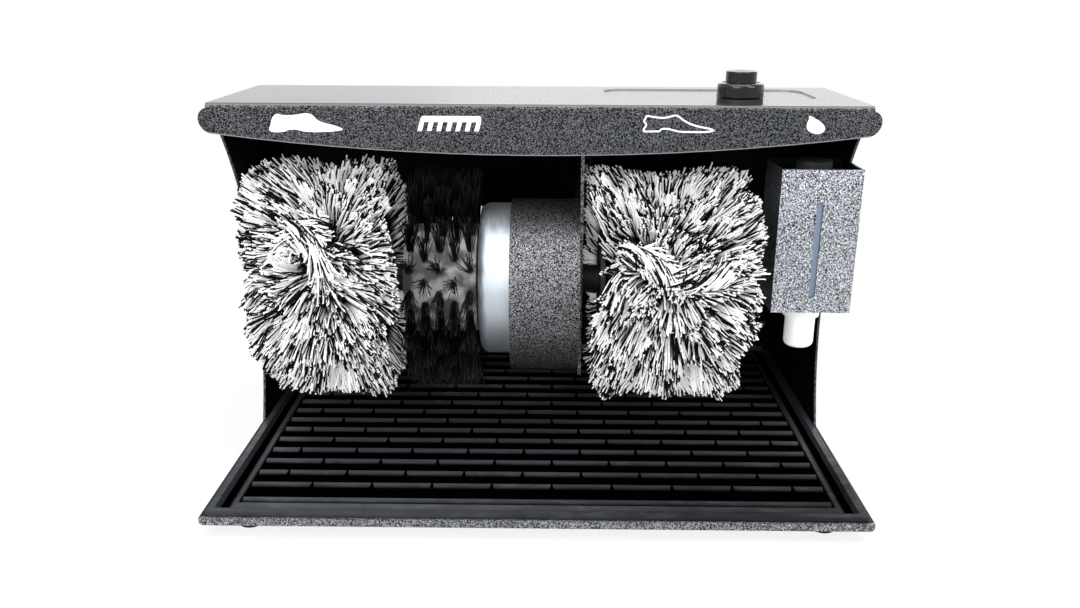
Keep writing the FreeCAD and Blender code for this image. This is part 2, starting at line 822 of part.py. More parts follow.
def make_back():
    reach = inner_x - cover_gap
    foot_out = V(0, back_y - sheet, foot_height)
    foot_in = V(0, back_y - sheet * 2, foot_height)
    corners = [foot_out, heel_top(sheet), slope_end(sheet, sheet), slope_end(sheet * 2, sheet),
               heel_top(sheet * 2), foot_in]
    face = Part.Face(Part.makePolygon(corners + corners[:1]))
    face.translate(V(-reach, 0, 0))
    shape = face.extrude(V(reach * 2, 0, 0))
    cutters = []
    for k in range(vent_count):
        x = bracket_x - vent_bracket_gap - k * vent_pitch
        slot = block((x - vent_width / 2, x + vent_width / 2), (-sheet * 3, 0),
                     (vent_start, vent_start + vent_length))
        ends = [rod(vent_width / 2, V(x, -sheet * 3, up), V(x, 0, up))
                for up in (vent_start, vent_start + vent_length)]
        cutters.append(on_slope(slot.fuse(ends)))
    cutters += flange_holes() + [mirrored(hole) for hole in flange_holes()]
    up = apron_screw_height()
    cutters.append(on_slope(rod(screw_radius + hole_gap, V(0, -sheet * 3, up), V(0, 0, up))))
    places = bracket_flange_points() + box_screw_points() + terminal_screw_points() + board_screw_points()
    for x, up in places:
        cutters.append(on_slope(rod(screw_radius + hole_gap, V(x, -sheet * 3, up), V(x, 0, up))))
    cutters.append(rod(gland_thread_radius + hole_gap, V(gland_x, back_y - sheet * 4, gland_height),
                       V(gland_x, back_y, gland_height)))
    return shape.cut(cutters).removeSplitter()


def make_back_fasteners():
    # panel screws go through the back panel and the side flanges into nuts
    x = inner_x - flange_width / 2
    for side in (-1, 1):
        for up in edge_screw_heights():
            slope_screw(side * x, up, sheet * 3)
        z = heel_screw_z()
        panel_screws.append(pan_screw(V(side * x, back_y - sheet, z), V(0, -1, 0), thread_length))
        add_nut(V(side * x, back_y - sheet * 3, z), Y_AXIS)
    for place in apron_screw_places():
        up = apron_screw_height()
        panel_screws.append(on_slope(pan_screw(V(place, 0, up), V(0, -1, 0), thread_length + sheet)))
        slope_nut(place, sheet * 3 if place else sheet * 2, up)


def slope_nut(x, inset, up):
    add_nut(V(x, -inset, up), Y_AXIS, on_slope)


def slope_screw(x, up, nut_inset):
    # a screw through the back panel and what lies behind it, with its nut
    panel_screws.append(on_slope(pan_screw(V(x, -sheet, up), V(0, -1, 0), thread_length)))
    slope_nut(x, nut_inset, up)


parts["back_panel"] = make_back()
make_back_fasteners()


# Motor bracket and what holds the hood

def bracket_stud_points():
    x = bracket_right_x + bracket_flange * 3 / 5
    start = front_y + bracket_front_setback + bracket_flange_start
    end = flat_back_y - bracket_flange_end
    inset = (end - start) / 6
    return [V(x, y, hood_height - sheet) for y in (start + inset, end - inset)]


def ring_places(circle, first_angle):
    places = []
    for k in range(motor_bolt_count):
        angle = first_angle + math.pi * 2 / motor_bolt_count * k
        places.append((axis_y + circle * math.cos(angle), axis_height + circle * math.sin(angle)))
    return places


def plate_screw_places():
    return ring_places(plate_screw_circle, math.pi / motor_bolt_count)


def cowl_screw_places():
    reach = (motor_radius + cowl_bore_gap + cowl_radius - sheet + cowl_drop) / 2
    places = []
    for side in (-1, 1):
        angle = math.radians(side * cowl_screw_angle - 90)
        places.append((axis_y + reach * math.cos(angle), axis_height + reach * math.sin(angle)))
    return places


def capacitor_place():
    reach = max(cotton_radius, cowl_radius + capacitor_radius) + capacitor_gap
    return axis_y + reach, axis_height + capacitor_rise


def make_bracket():
    near = front_y + bracket_front_setback
    top_z = hood_height - sheet
    inset = sheet * 2
    rear_low = slope_point(0, -inset, bracket_rear_start - bracket_rear_margin)
    rear_end = slope_end(inset, sheet)
    corner_y = flat_back_y
    corners = [V(0, near, bracket_foot_height), V(0, axis_y + motor_radius, bracket_foot_height),
               rear_low, rear_end, V(0, corner_y, top_z), V(0, near, top_z)]
    web = Part.Face(Part.makePolygon(corners + corners[:1]))
    web.translate(V(bracket_x, 0, 0))
    web = web.extrude(V(bracket_sheet, 0, 0))
    top = block((bracket_x, bracket_right_x + bracket_flange),
                (near + bracket_flange_start, corner_y - bracket_flange_end),
                (top_z - bracket_sheet, top_z))
    rear = on_slope(block((bracket_x, bracket_right_x + bracket_flange), (-inset - bracket_sheet, -inset),
                          (bracket_rear_start, bracket_rear_end)))
    shape = web.fuse([top, rear])
    holes = [rod(boss_hole_radius, V(bracket_x - overrun, axis_y, axis_height),
                 V(bracket_right_x + overrun, axis_y, axis_height))]
    for y, z in plate_screw_places():
        holes.append(sunk_hole(V(bracket_right_x, y, z), V(-1, 0, 0), bracket_sheet * 2))
    for y, z in cowl_screw_places():
        holes.append(sunk_hole(V(bracket_right_x, y, z), V(-1, 0, 0), bracket_sheet * 2, cowl_screw_radius,
                               cowl_screw_head_radius, cowl_screw_head_depth))
    y, z = capacitor_place()
    holes.append(rod(capacitor_stud_radius + hole_gap, V(bracket_x - overrun, y, z),
                     V(bracket_right_x + overrun, y, z)))
    for p in bracket_stud_points():
        holes.append(rod(screw_radius + hole_gap, p - Z_AXIS * sheet * 3, p))
    for x, up in bracket_flange_points():
        holes.append(on_slope(rod(screw_radius + hole_gap, V(x, -sheet * 5, up), V(x, 0, up))))
    return shape.cut(holes).removeSplitter()


def make_studs():
    studs = []
    for points, thickness in ((hood_stud_points(), sheet), (bracket_stud_points(), bracket_sheet)):
        for p in points:
            studs.append(rod(screw_radius, p - Z_AXIS * thread_length, p))
            add_nut(p - Z_AXIS * thickness, Z_AXIS)
    return group(studs)


parts["motor_bracket"] = make_bracket()
parts["hood_studs"] = make_studs()
for place, up in bracket_flange_points():
    slope_screw(place, up, sheet * 2 + bracket_sheet)


# Motor

def on_axis(x):
    return V(x, axis_y, axis_height)


def end_casting(face_x, rim_x, fillet):
    # a cup whose closed end is at face_x and whose rim meets the stator at rim_x
    inward = X_AXIS if rim_x > face_x else V(0, 0, 0) - X_AXIS
    length = abs(rim_x - face_x)
    cup = rod(motor_radius, on_axis(face_x), on_axis(rim_x))
    if fillet:
        rim = [e for e in cup.Edges if abs(e.CenterOfMass.x - face_x) < sheet / 10 and e.Closed]
        cup = cup.makeFillet(fillet, rim[:1])
    hollow = rod(motor_radius - motor_wall, on_axis(face_x) + inward * motor_wall,
                 on_axis(rim_x) + inward * overrun)
    boss = rod(boss_radius, on_axis(face_x) + inward * motor_wall,
               on_axis(face_x) + inward * (motor_wall + bearing_width))
    pocket = rod(bearing_outer_radius + seat_gap, on_axis(face_x) + inward * motor_wall,
                 on_axis(face_x) + inward * length)
    bore = rod(boss_hole_radius, on_axis(face_x) - inward * overrun, on_axis(face_x) + inward * length)
    return cup.cut(hollow).fuse(boss).cut([pocket, bore])


def make_motor():
    bell = end_casting(bell_start, core_start, bell_fillet)
    plate = end_casting(bracket_x, core_end, 0)
    core = tube(motor_radius, rotor_radius + air_gap, on_axis(core_start), on_axis(core_end))
    bolts, screws = [], []
    bolt_length = bracket_x - bell_start - motor_wall
    for y, z in ring_places(motor_bolt_circle, 0):
        start = V(bell_start, y, z)
        bolts.append(sunk_screw(start, X_AXIS, bolt_length))
        bell = bell.cut(sunk_hole(start, X_AXIS, bell_length))
        hole_ends = (V(core_start - overrun, y, z), V(core_end + overrun, y, z))
        core = core.cut(rod(screw_radius + hole_gap, hole_ends[0], hole_ends[1]))
        lug_start = core_end
        lug = rod(screw_head_radius, V(lug_start, y, z), V(bracket_x - motor_wall, y, z))
        bore_end = start + X_AXIS * (bolt_length + hole_gap)
        plate = plate.fuse(lug).cut(rod(screw_radius + thread_gap, V(lug_start - overrun, y, z), bore_end))
    for y, z in plate_screw_places():
        face = V(bracket_right_x, y, z)
        depth = bracket_sheet + motor_wall
        screws.append(sunk_screw(face, V(-1, 0, 0), depth))
        plate = plate.cut(rod(screw_radius + thread_gap, face, face - X_AXIS * (depth + overrun)))
    windings = []
    for start in (core_start - winding_length, core_end):
        end = start + winding_length
        windings.append(tube(winding_outer_radius, winding_inner_radius, on_axis(start), on_axis(end)))
    return bell, plate, core, group(windings), group(bolts), group(screws)


def bearing_starts():
    left = bell_start + motor_wall
    right = bracket_x - motor_wall - bearing_width
    return (left, right)


def make_bearings():
    outer, inner, balls = [], [], []
    ball_circle = (bearing_outer_radius + shaft_radius) / 2
    for start in bearing_starts():
        a, b = on_axis(start), on_axis(start + bearing_width)
        middle_x = start + bearing_width / 2
        groove = Part.makeTorus(ball_circle, ball_radius + running_fit, on_axis(middle_x), X_AXIS)
        outer.append(tube(bearing_outer_radius, bearing_outer_radius - race_thickness, a, b).cut(groove))
        ring = tube(shaft_radius + race_thickness + seat_gap, shaft_radius + seat_gap, a, b)
        inner.append(ring.cut(groove))
        for k in range(ball_count):
            angle = math.pi * 2 * k / ball_count
            offset = V(0, ball_circle * math.cos(angle), ball_circle * math.sin(angle))
            balls.append(Part.makeSphere(ball_radius, on_axis(middle_x) + offset))
    return group(outer), group(inner), group(balls)


def make_cowl():
    centre = V(bracket_x, axis_y, axis_height - cowl_drop)
    start = centre - X_AXIS * cowl_length
    shell = tube(cowl_radius, cowl_radius - sheet, start, centre)
    bore = motor_radius + cowl_bore_gap
    front = rod(cowl_radius, start, start + X_AXIS * sheet)
    rear = rod(cowl_radius, centre - X_AXIS * sheet, centre)
    opening = rod(bore, on_axis(start.x - overrun), on_axis(bracket_x + overrun))
    shape = shell.fuse([front, rear]).cut(opening)
    screws, nuts = [], []
    for y, z in cowl_screw_places():
        face = V(bracket_right_x, y, z)
        shape = shape.cut(rod(cowl_screw_radius + hole_gap, face, face - X_AXIS * cowl_length / 3))
        screws.append(sunk_screw(face, V(-1, 0, 0), cowl_screw_length, cowl_screw_radius,
                                 cowl_screw_head_radius, cowl_screw_head_depth))
        seat = V(bracket_x - sheet, y, z)
        end = seat - X_AXIS * cowl_nut_height
        nuts.append(nut(cowl_nut_flats, cowl_screw_radius + thread_gap, end, seat))
    return shape.removeSplitter(), group(screws), group(nuts)


def make_capacitor():
    y, z = capacitor_place()
    base = V(bracket_x, y, z)
    can = rod(capacitor_radius, base - X_AXIS * capacitor_length, base)
    stud = rod(capacitor_stud_radius, base, base + X_AXIS * capacitor_stud_length)
    seat = base + X_AXIS * bracket_sheet
    fixing = nut(capacitor_nut_flats, capacitor_stud_radius + thread_gap, seat,
                 seat + X_AXIS * capacitor_nut_height)
    terminals = []
    for side in (-1, 1):
        centre = base - X_AXIS * capacitor_length + Y_AXIS * side * capacitor_radius / 2
        terminals.append(block((centre.x - switch_tab_length, centre.x),
                               (centre.y - switch_tab_thickness / 2, centre.y + switch_tab_thickness / 2),
                               (centre.z - switch_tab_width / 2, centre.z + switch_tab_width / 2)))
    return can.fuse([stud] + terminals), fixing


motor_pieces = make_motor()
parts["motor_end_bell"], parts["motor_end_plate"], parts["stator_core"] = motor_pieces[:3]
parts["stator_windings"], parts["motor_bolts"], parts["motor_plate_screws"] = motor_pieces[3:]
parts["bearing_outer_rings"], parts["bearing_inner_rings"], parts["bearing_balls"] = make_bearings()
parts["motor_cowl"], parts["cowl_screws"], parts["cowl_nuts"] = make_cowl()
parts["capacitor"], parts["capacitor_nut"] = make_capacitor()


# Shaft and brushes, which turn together

def make_shaft():
    left_seat = left_hub_start - end_washer_thickness
    right_seat = right_hub_end + end_washer_thickness
    start = left_seat - end_nut_height - shaft_overhang
    end = right_seat + end_nut_height + shaft_overhang
    left_bearing, right_bearing = bearing_starts()
    shaft = rod(shaft_radius, on_axis(start), on_axis(end))
    shoulder = rod(shaft_shoulder_radius, on_axis(left_bearing + bearing_width), on_axis(right_bearing))
    shaft = shaft.fuse(shoulder).removeSplitter()
    core = tube(rotor_radius, shaft_shoulder_radius + seat_gap, on_axis(core_start), on_axis(core_end))
    for face_x, side in ((core_start, -1), (core_end, 1)):
        ends = sorted((face_x, face_x + side * rotor_ring_length))
        core = core.fuse(tube(rotor_ring_radius, boss_radius, on_axis(ends[0]), on_axis(ends[1])))
    bore = shaft_radius + seat_gap
    washers = [tube(end_washer_radius, bore, on_axis(a), on_axis(b))
               for a, b in ((left_seat, left_hub_start), (right_hub_end, right_seat))]
    nut_spans = ((left_seat - end_nut_height, left_seat), (right_seat, right_seat + end_nut_height))
    nuts = [nut(end_nut_flats, shaft_radius + thread_gap, on_axis(a), on_axis(b)) for a, b in nut_spans]
    spans = [(left_hub_end, bristle_hub_start), (bristle_hub_end, left_bearing),
             (right_bearing + bearing_width, right_hub_start)]
    spacers = [tube(spacer_radius, bore, on_axis(a), on_axis(b)) for a, b in spans]
    return shaft, core, group(washers), group(nuts), group(spacers)


def make_hub(start, end):
    edge = hub_flange_thickness
    sleeve = rod(hub_sleeve_radius, on_axis(start), on_axis(end))
    flanges = [rod(hub_flange_radius, on_axis(start), on_axis(start + edge)),
               rod(hub_flange_radius, on_axis(end - edge), on_axis(end))]
    bore = rod(shaft_radius + seat_gap, on_axis(start - overrun), on_axis(end + overrun))
    return sleeve.fuse(flanges).cut(bore).removeSplitter()


def make_pile(hub_start, hub_end, start, end):
    # the full shape of a cotton mop brush, pinched between the flanges of its hub
    inner_left = hub_start + hub_flange_thickness + seat_gap
    inner_right = hub_end - hub_flange_thickness - seat_gap
    throat = hub_flange_radius + cover_gap
    root = hub_sleeve_radius + seat_gap
    low = cotton_radius - cotton_round
    points = [(inner_left, root), (inner_right, root), (inner_right, throat), (end, cotton_neck_radius),
              (end, low), (end - cotton_round, cotton_radius), (start + cotton_round, cotton_radius),
              (start, low), (start, cotton_neck_radius), (inner_left, throat)]
    corners = [on_axis(x) + Z_AXIS * r for x, r in points]
    edges = []
    turn = cotton_round * math.sqrt(1 / 2)
    for k, corner in enumerate(corners):
        following = corners[(k + 1) % len(corners)]
        if k == 4:
            elbow = on_axis(end - cotton_round + turn) + Z_AXIS * (low + turn)
            edges.append(Part.Arc(corner, elbow, following).toShape())
        elif k == 6:
            elbow = on_axis(start + cotton_round - turn) + Z_AXIS * (low + turn)
            edges.append(Part.Arc(corner, elbow, following).toShape())
        else:
            edges.append(line(corner, following))
    return Part.Face(Part.Wire(edges)).revolve(on_axis(0), X_AXIS, 360)


def make_bristle_brush():
    hub_ends = (on_axis(bristle_hub_start), on_axis(bristle_hub_end))
    hub = tube(bristle_hub_radius, shaft_radius + seat_gap, hub_ends[0], hub_ends[1])
    length = bristle_hub_end - bristle_hub_start - tuft_margin * 2
    pitch = length / (tuft_columns - 1)
    column = []
    for row in range(tuft_rows):
        tuft = Part.makeCone(tuft_root, tuft_tip, bristle_tip_radius - bristle_hub_radius / 2,
                             V(0, 0, bristle_hub_radius / 2), Z_AXIS)
        tuft.rotate(V(0, 0, 0), X_AXIS, 360 * row / tuft_rows)
        column.append(tuft)
    ring = group(column).cut(rod(bristle_hub_radius, X_AXIS * -base_width, X_AXIS * base_width))
    tufts = []
    for index in range(tuft_columns):
        copy = ring.copy()
        copy.rotate(V(0, 0, 0), X_AXIS, 180 / tuft_rows * (index % 2))
        copy.translate(on_axis(bristle_hub_start + tuft_margin + pitch * index))
        tufts += copy.Solids
    return hub, group(tufts)


shaft_pieces = make_shaft()
parts["motor_shaft"], parts["rotor_core"], parts["shaft_washers"] = shaft_pieces[:3]
parts["shaft_nuts"], parts["shaft_spacers"] = shaft_pieces[3:]
parts["left_cotton_hub"] = make_hub(left_hub_start, left_hub_end)
parts["right_cotton_hub"] = make_hub(right_hub_start, right_hub_end)
parts["left_cotton_pile"] = make_pile(left_hub_start, left_hub_end, left_pile_start, left_pile_end)
parts["right_cotton_pile"] = make_pile(right_hub_start, right_hub_end, right_pile_start, right_pile_end)
parts["bristle_hub"], parts["bristle_tufts"] = make_bristle_brush()


# Push switch

def make_switch():
    def at(height):
        return V(switch_x, switch_y, hood_height + height)

    gasket = tube(switch_gasket_radius, switch_neck_radius + hole_gap, at(0), at(switch_gasket_height))
    flange_top = switch_gasket_height + switch_flange_height
    body_top = flange_top + switch_body_height
    body = rod(switch_flange_radius, at(switch_gasket_height), at(flange_top))
    rim = Part.makeCone(switch_flange_radius - switch_flange_height, switch_flange_radius,
                        switch_flange_height, at(switch_gasket_height), Z_AXIS)
    body = body.common(rim)
    drum = rod(switch_body_radius, at(flange_top), at(body_top))
    upper = [e for e in drum.Edges if e.Closed and abs(e.CenterOfMass.z - at(body_top).z) < sheet / 10]
    drum = drum.makeFillet(switch_shoulder, upper[:1])
    neck = rod(switch_neck_radius, at(-sheet - switch_neck_length), at(switch_gasket_height))
    well = tube(switch_collar_radius, switch_cap_radius + running_fit + sheet / 2,
                at(body_top - switch_collar_sink), at(body_top + overrun))
    bore_floor = body_top - switch_cap_skirt - switch_travel - overrun / 2
    bore = rod(switch_cap_radius + running_fit, at(bore_floor), at(body_top + overrun))
    core = rod(switch_neck_bore, at(-sheet - switch_neck_length - overrun), at(bore_floor + overrun))
    housing = body.fuse([drum, neck]).cut([well, bore, core]).removeSplitter()
    cap_top = body_top + switch_cap_rise
    cap = rod(switch_cap_radius, at(body_top - switch_cap_skirt), at(cap_top))
    rims = [e for e in cap.Edges if e.Closed and abs(e.CenterOfMass.z - at(cap_top).z) < sheet / 10]
    cap = cap.makeFillet(switch_slot_depth, rims[:1])
    hollow = rod(switch_cap_bore, at(body_top - switch_cap_skirt - overrun), at(cap_top - switch_cap_roof))
    slot = block((switch_x - switch_slot_length / 2, switch_x + switch_slot_length / 2),
                 (switch_y - switch_slot_width / 2, switch_y + switch_slot_width / 2),
                 (at(cap_top - switch_slot_depth).z, at(cap_top + overrun).z))
    cap = cap.cut([hollow, slot])
    neck_foot = -sheet - switch_neck_length
    lock_nut = nut(switch_nut_flats, switch_neck_radius + thread_gap,
                   at(-sheet - switch_nut_height), at(-sheet))
    half = switch_block_width / 2
    block_low = neck_foot - switch_block_height
    contact = block((switch_x - half, switch_x + half), (switch_y - half, switch_y + half),
                    (at(block_low).z, at(neck_foot).z))
    tabs = []
    for side in (-1, 1):
        x = switch_x + side * switch_tab_spread
        tabs.append(block((x - switch_tab_width / 2, x + switch_tab_width / 2),
                          (switch_y - switch_tab_thickness / 2, switch_y + switch_tab_thickness / 2),
                          (at(block_low - switch_tab_length).z, at(block_low).z)))
    coil = spring(switch_spring_radius, spring_wire, switch_spring_turns, at(neck_foot).z + thread_gap,
                  at(cap_top - switch_cap_roof).z - thread_gap, switch_x, switch_y)
    return gasket, housing, cap, lock_nut, contact, group(tabs), coil


switch_pieces = make_switch()
parts["switch_gasket"], parts["switch_housing"], parts["switch_cap"] = switch_pieces[:3]
parts["switch_nut"], parts["switch_block"], parts["switch_tabs"] = switch_pieces[3:6]
parts["switch_spring"] = switch_pieces[6]


# Cream dispenser with its spring valve

def valve_at(z):
    return V(valve_x, valve_y, z)


def make_dispenser_housing():
    shape = block((dispenser_left, dispenser_right), (dispenser_front, dispenser_back),
                  (dispenser_bottom, dispenser_top))
    t = dispenser_sheet
    inside = ((dispenser_left + t, dispenser_right - t), (dispenser_front + t, dispenser_back - t))
    shape = shape.cut(block(inside[0], inside[1], (dispenser_bottom + t, dispenser_top + overrun)))
    low = dispenser_bottom + sight_start + sight_width / 2
    high = low + sight_length - sight_width
    cut_span = (dispenser_front - overrun, dispenser_front + t * 2)
    slot = block((valve_x - sight_width / 2, valve_x + sight_width / 2), cut_span, (low, high))
    ends = [rod(sight_width / 2, V(valve_x, cut_span[0], z), V(valve_x, cut_span[1], z))
            for z in (low, high)]
    hole = rod(collar_neck_radius + hole_gap,
               valve_at(dispenser_bottom - overrun), valve_at(dispenser_bottom + t * 2))
    tab_low = dispenser_bottom + tab_bottom
    tab = block((dispenser_right - t, dispenser_right), (dispenser_back - t, dispenser_back + tab_reach),
                (tab_low, tab_low + tab_height))
    shape = shape.cut([slot, hole] + ends).fuse(tab)
    holes = [rod(screw_radius + hole_gap, p - X_AXIS * t * 2, p + X_AXIS * t) for p in tab_screw_points()]
    return shape.cut(holes).removeSplitter()


def fasten_dispenser():
    for p in tab_screw_points():
        panel_screws.append(pan_screw(V(half_width, p.y, p.z), V(-1, 0, 0), thread_length))
        add_nut(V(dispenser_right - dispenser_sheet, p.y, p.z), X_AXIS)


def make_bottle():
    g = dispenser_sheet + bottle_gap
    low = dispenser_bottom + dispenser_sheet
    top = low + bottle_height
    outer = rounded_block((dispenser_left + g, dispenser_right - g),
                          (dispenser_front + g, dispenser_back - g), (low, top), bottle_corner)
    w = g + bottle_wall
    inner = rounded_block((dispenser_left + w, dispenser_right - w),
                          (dispenser_front + w, dispenser_back - w),
                          (low + bottle_wall, top - bottle_wall), bottle_corner - bottle_wall)
    neck_top = top + filler_neck_height
    neck = rod(filler_neck_radius, valve_at(top), valve_at(neck_top))
    mouth = rod(filler_neck_bore, valve_at(top - bottle_wall * 2), valve_at(neck_top + overrun))
    hole = rod(collar_neck_radius + seat_gap, valve_at(low - overrun), valve_at(low + bottle_wall * 2))
    lid = outer.common(block((dispenser_left, dispenser_right), (dispenser_front, dispenser_back),
                             (top - bottle_wall, top)))
    bottle = outer.cut([inner, lid, hole])
    lid = lid.fuse(neck).cut(mouth).removeSplitter()
    cap = rod(filler_radius, valve_at(top), valve_at(top + filler_height))
    cap = cap.cut(rod(filler_neck_radius + seat_gap, valve_at(top - overrun),
                      valve_at(top + filler_height - filler_roof)))
    cutters = []
    reach = filler_radius + filler_groove_radius / 2
    groove_low = valve_at(top + filler_roof / 2)
    groove_high = valve_at(top + filler_height - filler_roof)
    for k in range(filler_grooves):
        angle = math.pi * 2 * k / filler_grooves
        side = V(math.cos(angle), math.sin(angle), 0) * reach
        cutters.append(rod(filler_groove_radius, groove_low + side, groove_high + side))
    return bottle, lid, cap.cut(cutters)


def make_valve():
    low = dispenser_bottom - collar_height
    web_low = dispenser_bottom - collar_web
    web_high = dispenser_bottom
    neck_top = dispenser_bottom + dispenser_sheet + collar_neck_height
    collar = rod(collar_radius, valve_at(low), valve_at(dispenser_bottom))
    neck = rod(collar_neck_radius, valve_at(dispenser_bottom), valve_at(neck_top))
    bore = rod(nozzle_radius + running_fit, valve_at(low - overrun), valve_at(web_low))
    cup = rod(valve_disc_radius + sheet, valve_at(web_high), valve_at(neck_top + overrun))
    stem_hole = rod(stem_radius + running_fit, valve_at(web_low - overrun), valve_at(web_high + overrun))
    collar = collar.fuse(neck).cut([bore, cup, stem_hole]).removeSplitter()
    top = low + nozzle_overlap
    bottom = top - nozzle_length
    nozzle = rod(nozzle_radius, valve_at(bottom), valve_at(top))
    rims = [e for e in nozzle.Edges if e.Closed and abs(e.CenterOfMass.z - bottom) < sheet / 10]
    nozzle = nozzle.makeFillet(nozzle_round, rims[:1])
    nozzle = nozzle.cut(rod(nozzle_bore_radius, valve_at(top - nozzle_bore_depth), valve_at(top + overrun)))
    stem = rod(stem_radius, valve_at(top - nozzle_bore_depth), valve_at(web_high + valve_gap))
    disc_low = web_high + valve_gap
    disc = rod(valve_disc_radius, valve_at(disc_low), valve_at(disc_low + valve_disc_height))
    mouth = rod(nozzle_mouth_radius, valve_at(bottom - overrun), valve_at(bottom + nozzle_round))
    nozzle = nozzle.fuse([stem, disc]).cut(mouth)
    coil = spring(nozzle_spring_radius, spring_wire, nozzle_spring_turns,
                  top - nozzle_bore_depth + thread_gap, web_low - thread_gap, valve_x, valve_y)
    return collar, nozzle, coil


parts["dispenser_housing"] = make_dispenser_housing()
fasten_dispenser()
parts["cream_bottle"], parts["bottle_top"], parts["filler_cap"] = make_bottle()
parts["dispenser_collar"], parts["dispenser_nozzle"], parts["nozzle_spring"] = make_valve()


# Electrics behind the right brush

def make_electrics_cover():
    inset = sheet * 2
    outer = block((box_x - box_width / 2, box_x + box_width / 2), (-inset - box_depth, -inset),
                  (box_start, box_start + box_length))
    inner = block((box_x - box_width / 2 + sheet, box_x + box_width / 2 - sheet),
                  (-inset - box_depth + sheet, -inset + overrun),
                  (box_start + sheet, box_start + box_length - sheet))
    lips = [block((box_x + side * box_width / 2 - box_lip, box_x + side * box_width / 2 + box_lip),
                  (-inset - sheet, -inset), (box_start, box_start + box_length)) for side in (-1, 1)]
    shape = outer.fuse(lips).cut(inner)
    way = block((gland_x - gland_thread_radius, gland_x + gland_thread_radius),
                (-inset - box_depth / 2, -inset + overrun), (box_start - overrun, box_start + sheet * 2))
    holes = [rod(screw_radius + hole_gap, V(x, -inset - sheet * 2, up), V(x, 0, up))
             for x, up in box_screw_points()]
    return on_slope(shape.cut([way] + holes))


def make_electrics():
    inset = sheet * 2
    for x, up in box_screw_points():
        slope_screw(x, up, inset + sheet)
    board_low = -inset - spacer_height
    board = block((box_x - board_width / 2, box_x + board_width / 2),
                  (board_low - board_thickness, board_low), (board_start, board_start + board_length))
    spacers, board_screws, terminal_screws = [], [], []
    for x, up in board_screw_points():
        hole = rod(screw_radius + hole_gap, V(x, board_low - board_thickness * 2, up), V(x, 0, up))
        board = board.cut(hole)
        spacer = tube(spacer_outer_radius, screw_radius + hole_gap, V(x, board_low, up), V(x, -inset, up))
        spacers.append(on_slope(spacer))
        length = sheet + spacer_height + board_thickness + nut_height
        board_screws.append(on_slope(pan_screw(V(x, -sheet, up), V(0, -1, 0), length)))
        slope_nut(x, inset + spacer_height + board_thickness, up)
    face = board_low - board_thickness
    relay_x = box_x - board_width / 6
    relay_up = board_start + (board_length - relay_length) / 2
    relay = block((relay_x - relay_width / 2, relay_x + relay_width / 2), (face - relay_height, face),
                  (relay_up, relay_up + relay_length))
    fuse_x = box_x + board_width / 5
    fuse_up = board_start + (board_length - fuse_length) / 2
    fuse_axis = face - fuse_radius
    fuse = rod(fuse_radius, V(fuse_x, fuse_axis, fuse_up), V(fuse_x, fuse_axis, fuse_up + fuse_length))
    terminal_face = -inset
    terminal = block((box_x - terminal_width / 2, box_x + terminal_width / 2),
                     (terminal_face - terminal_height, terminal_face),
                     (terminal_start, terminal_start + terminal_length))
    cuts = []
    pitch = terminal_width / (terminal_ways + 1)
    for k in range(terminal_ways):
        x = box_x + (k - (terminal_ways - 1) / 2) * pitch
        if k in (0, terminal_ways - 1):
            continue
        up = terminal_start + terminal_length / 2
        middle = terminal_face - terminal_height / 2
        cuts.append(rod(terminal_hole_radius, V(x, middle, terminal_start - overrun),
                        V(x, middle, terminal_start + terminal_length + overrun)))
        inner_face = terminal_face - terminal_height - overrun
        cuts.append(rod(terminal_hole_radius, V(x, inner_face, up), V(x, middle, up)))
    for x, up in terminal_screw_points():
        cuts.append(rod(screw_radius + hole_gap, V(x, terminal_face - terminal_height - overrun, up),
                        V(x, 0, up)))
        terminal_screws.append(on_slope(pan_screw(V(x, -sheet, up), V(0, -1, 0),
                                                  sheet + terminal_height + nut_height)))
        slope_nut(x, inset + terminal_height, up)
    return (on_slope(board), group(spacers), on_slope(group([relay, fuse])), on_slope(terminal.cut(cuts)),
            group(board_screws), group(terminal_screws))


def make_gland():
    outer_y = back_y - sheet

    def at(reach):
        return V(gland_x, outer_y + reach, gland_height)

    gland_body = hexagon(gland_flats, at(0), at(gland_hex_height))
    thread = rod(gland_thread_radius, at(-sheet - gland_thread_length), at(0))
    dome_end = gland_hex_height + gland_dome_length
    dome = Part.makeCone(gland_dome_radius, gland_bore_radius + gland_mouth, gland_dome_length,
                         at(gland_hex_height), Y_AXIS)
    bore = rod(gland_bore_radius, at(-sheet - gland_thread_length - overrun), at(dome_end + overrun))
    body = gland_body.fuse([thread, dome]).cut(bore).removeSplitter()
    lock = nut(gland_nut_flats, gland_thread_radius + thread_gap, at(-sheet - gland_nut_height), at(-sheet))
    return body, lock


parts["electrics_cover"] = make_electrics_cover()
electric_pieces = make_electrics()
parts["timer_board"], parts["board_spacers"], parts["board_components"] = electric_pieces[:3]
parts["terminal_block"], parts["board_screws"], parts["terminal_screws"] = electric_pieces[3:]
parts["mains_gland"], parts["gland_nut"] = make_gland()
parts["m4_nuts"] = group(m4_nuts)
parts["panel_screws"] = group(panel_screws)


# Write one file for each piece

os.makedirs("parts", exist_ok=True)
for name, shape in parts.items():
    if not shape.isValid():
        print("not valid:", name)
    shape.exportStep("parts/" + name + ".step")
    box = shape.BoundBox
    print(name, len(shape.Solids), round(shape.Volume / 1000, 2),
          [round(v, 1) for v in (box.XMin, box.YMin, box.ZMin, box.XMax, box.YMax, box.ZMax)])
print("pieces", len(parts))
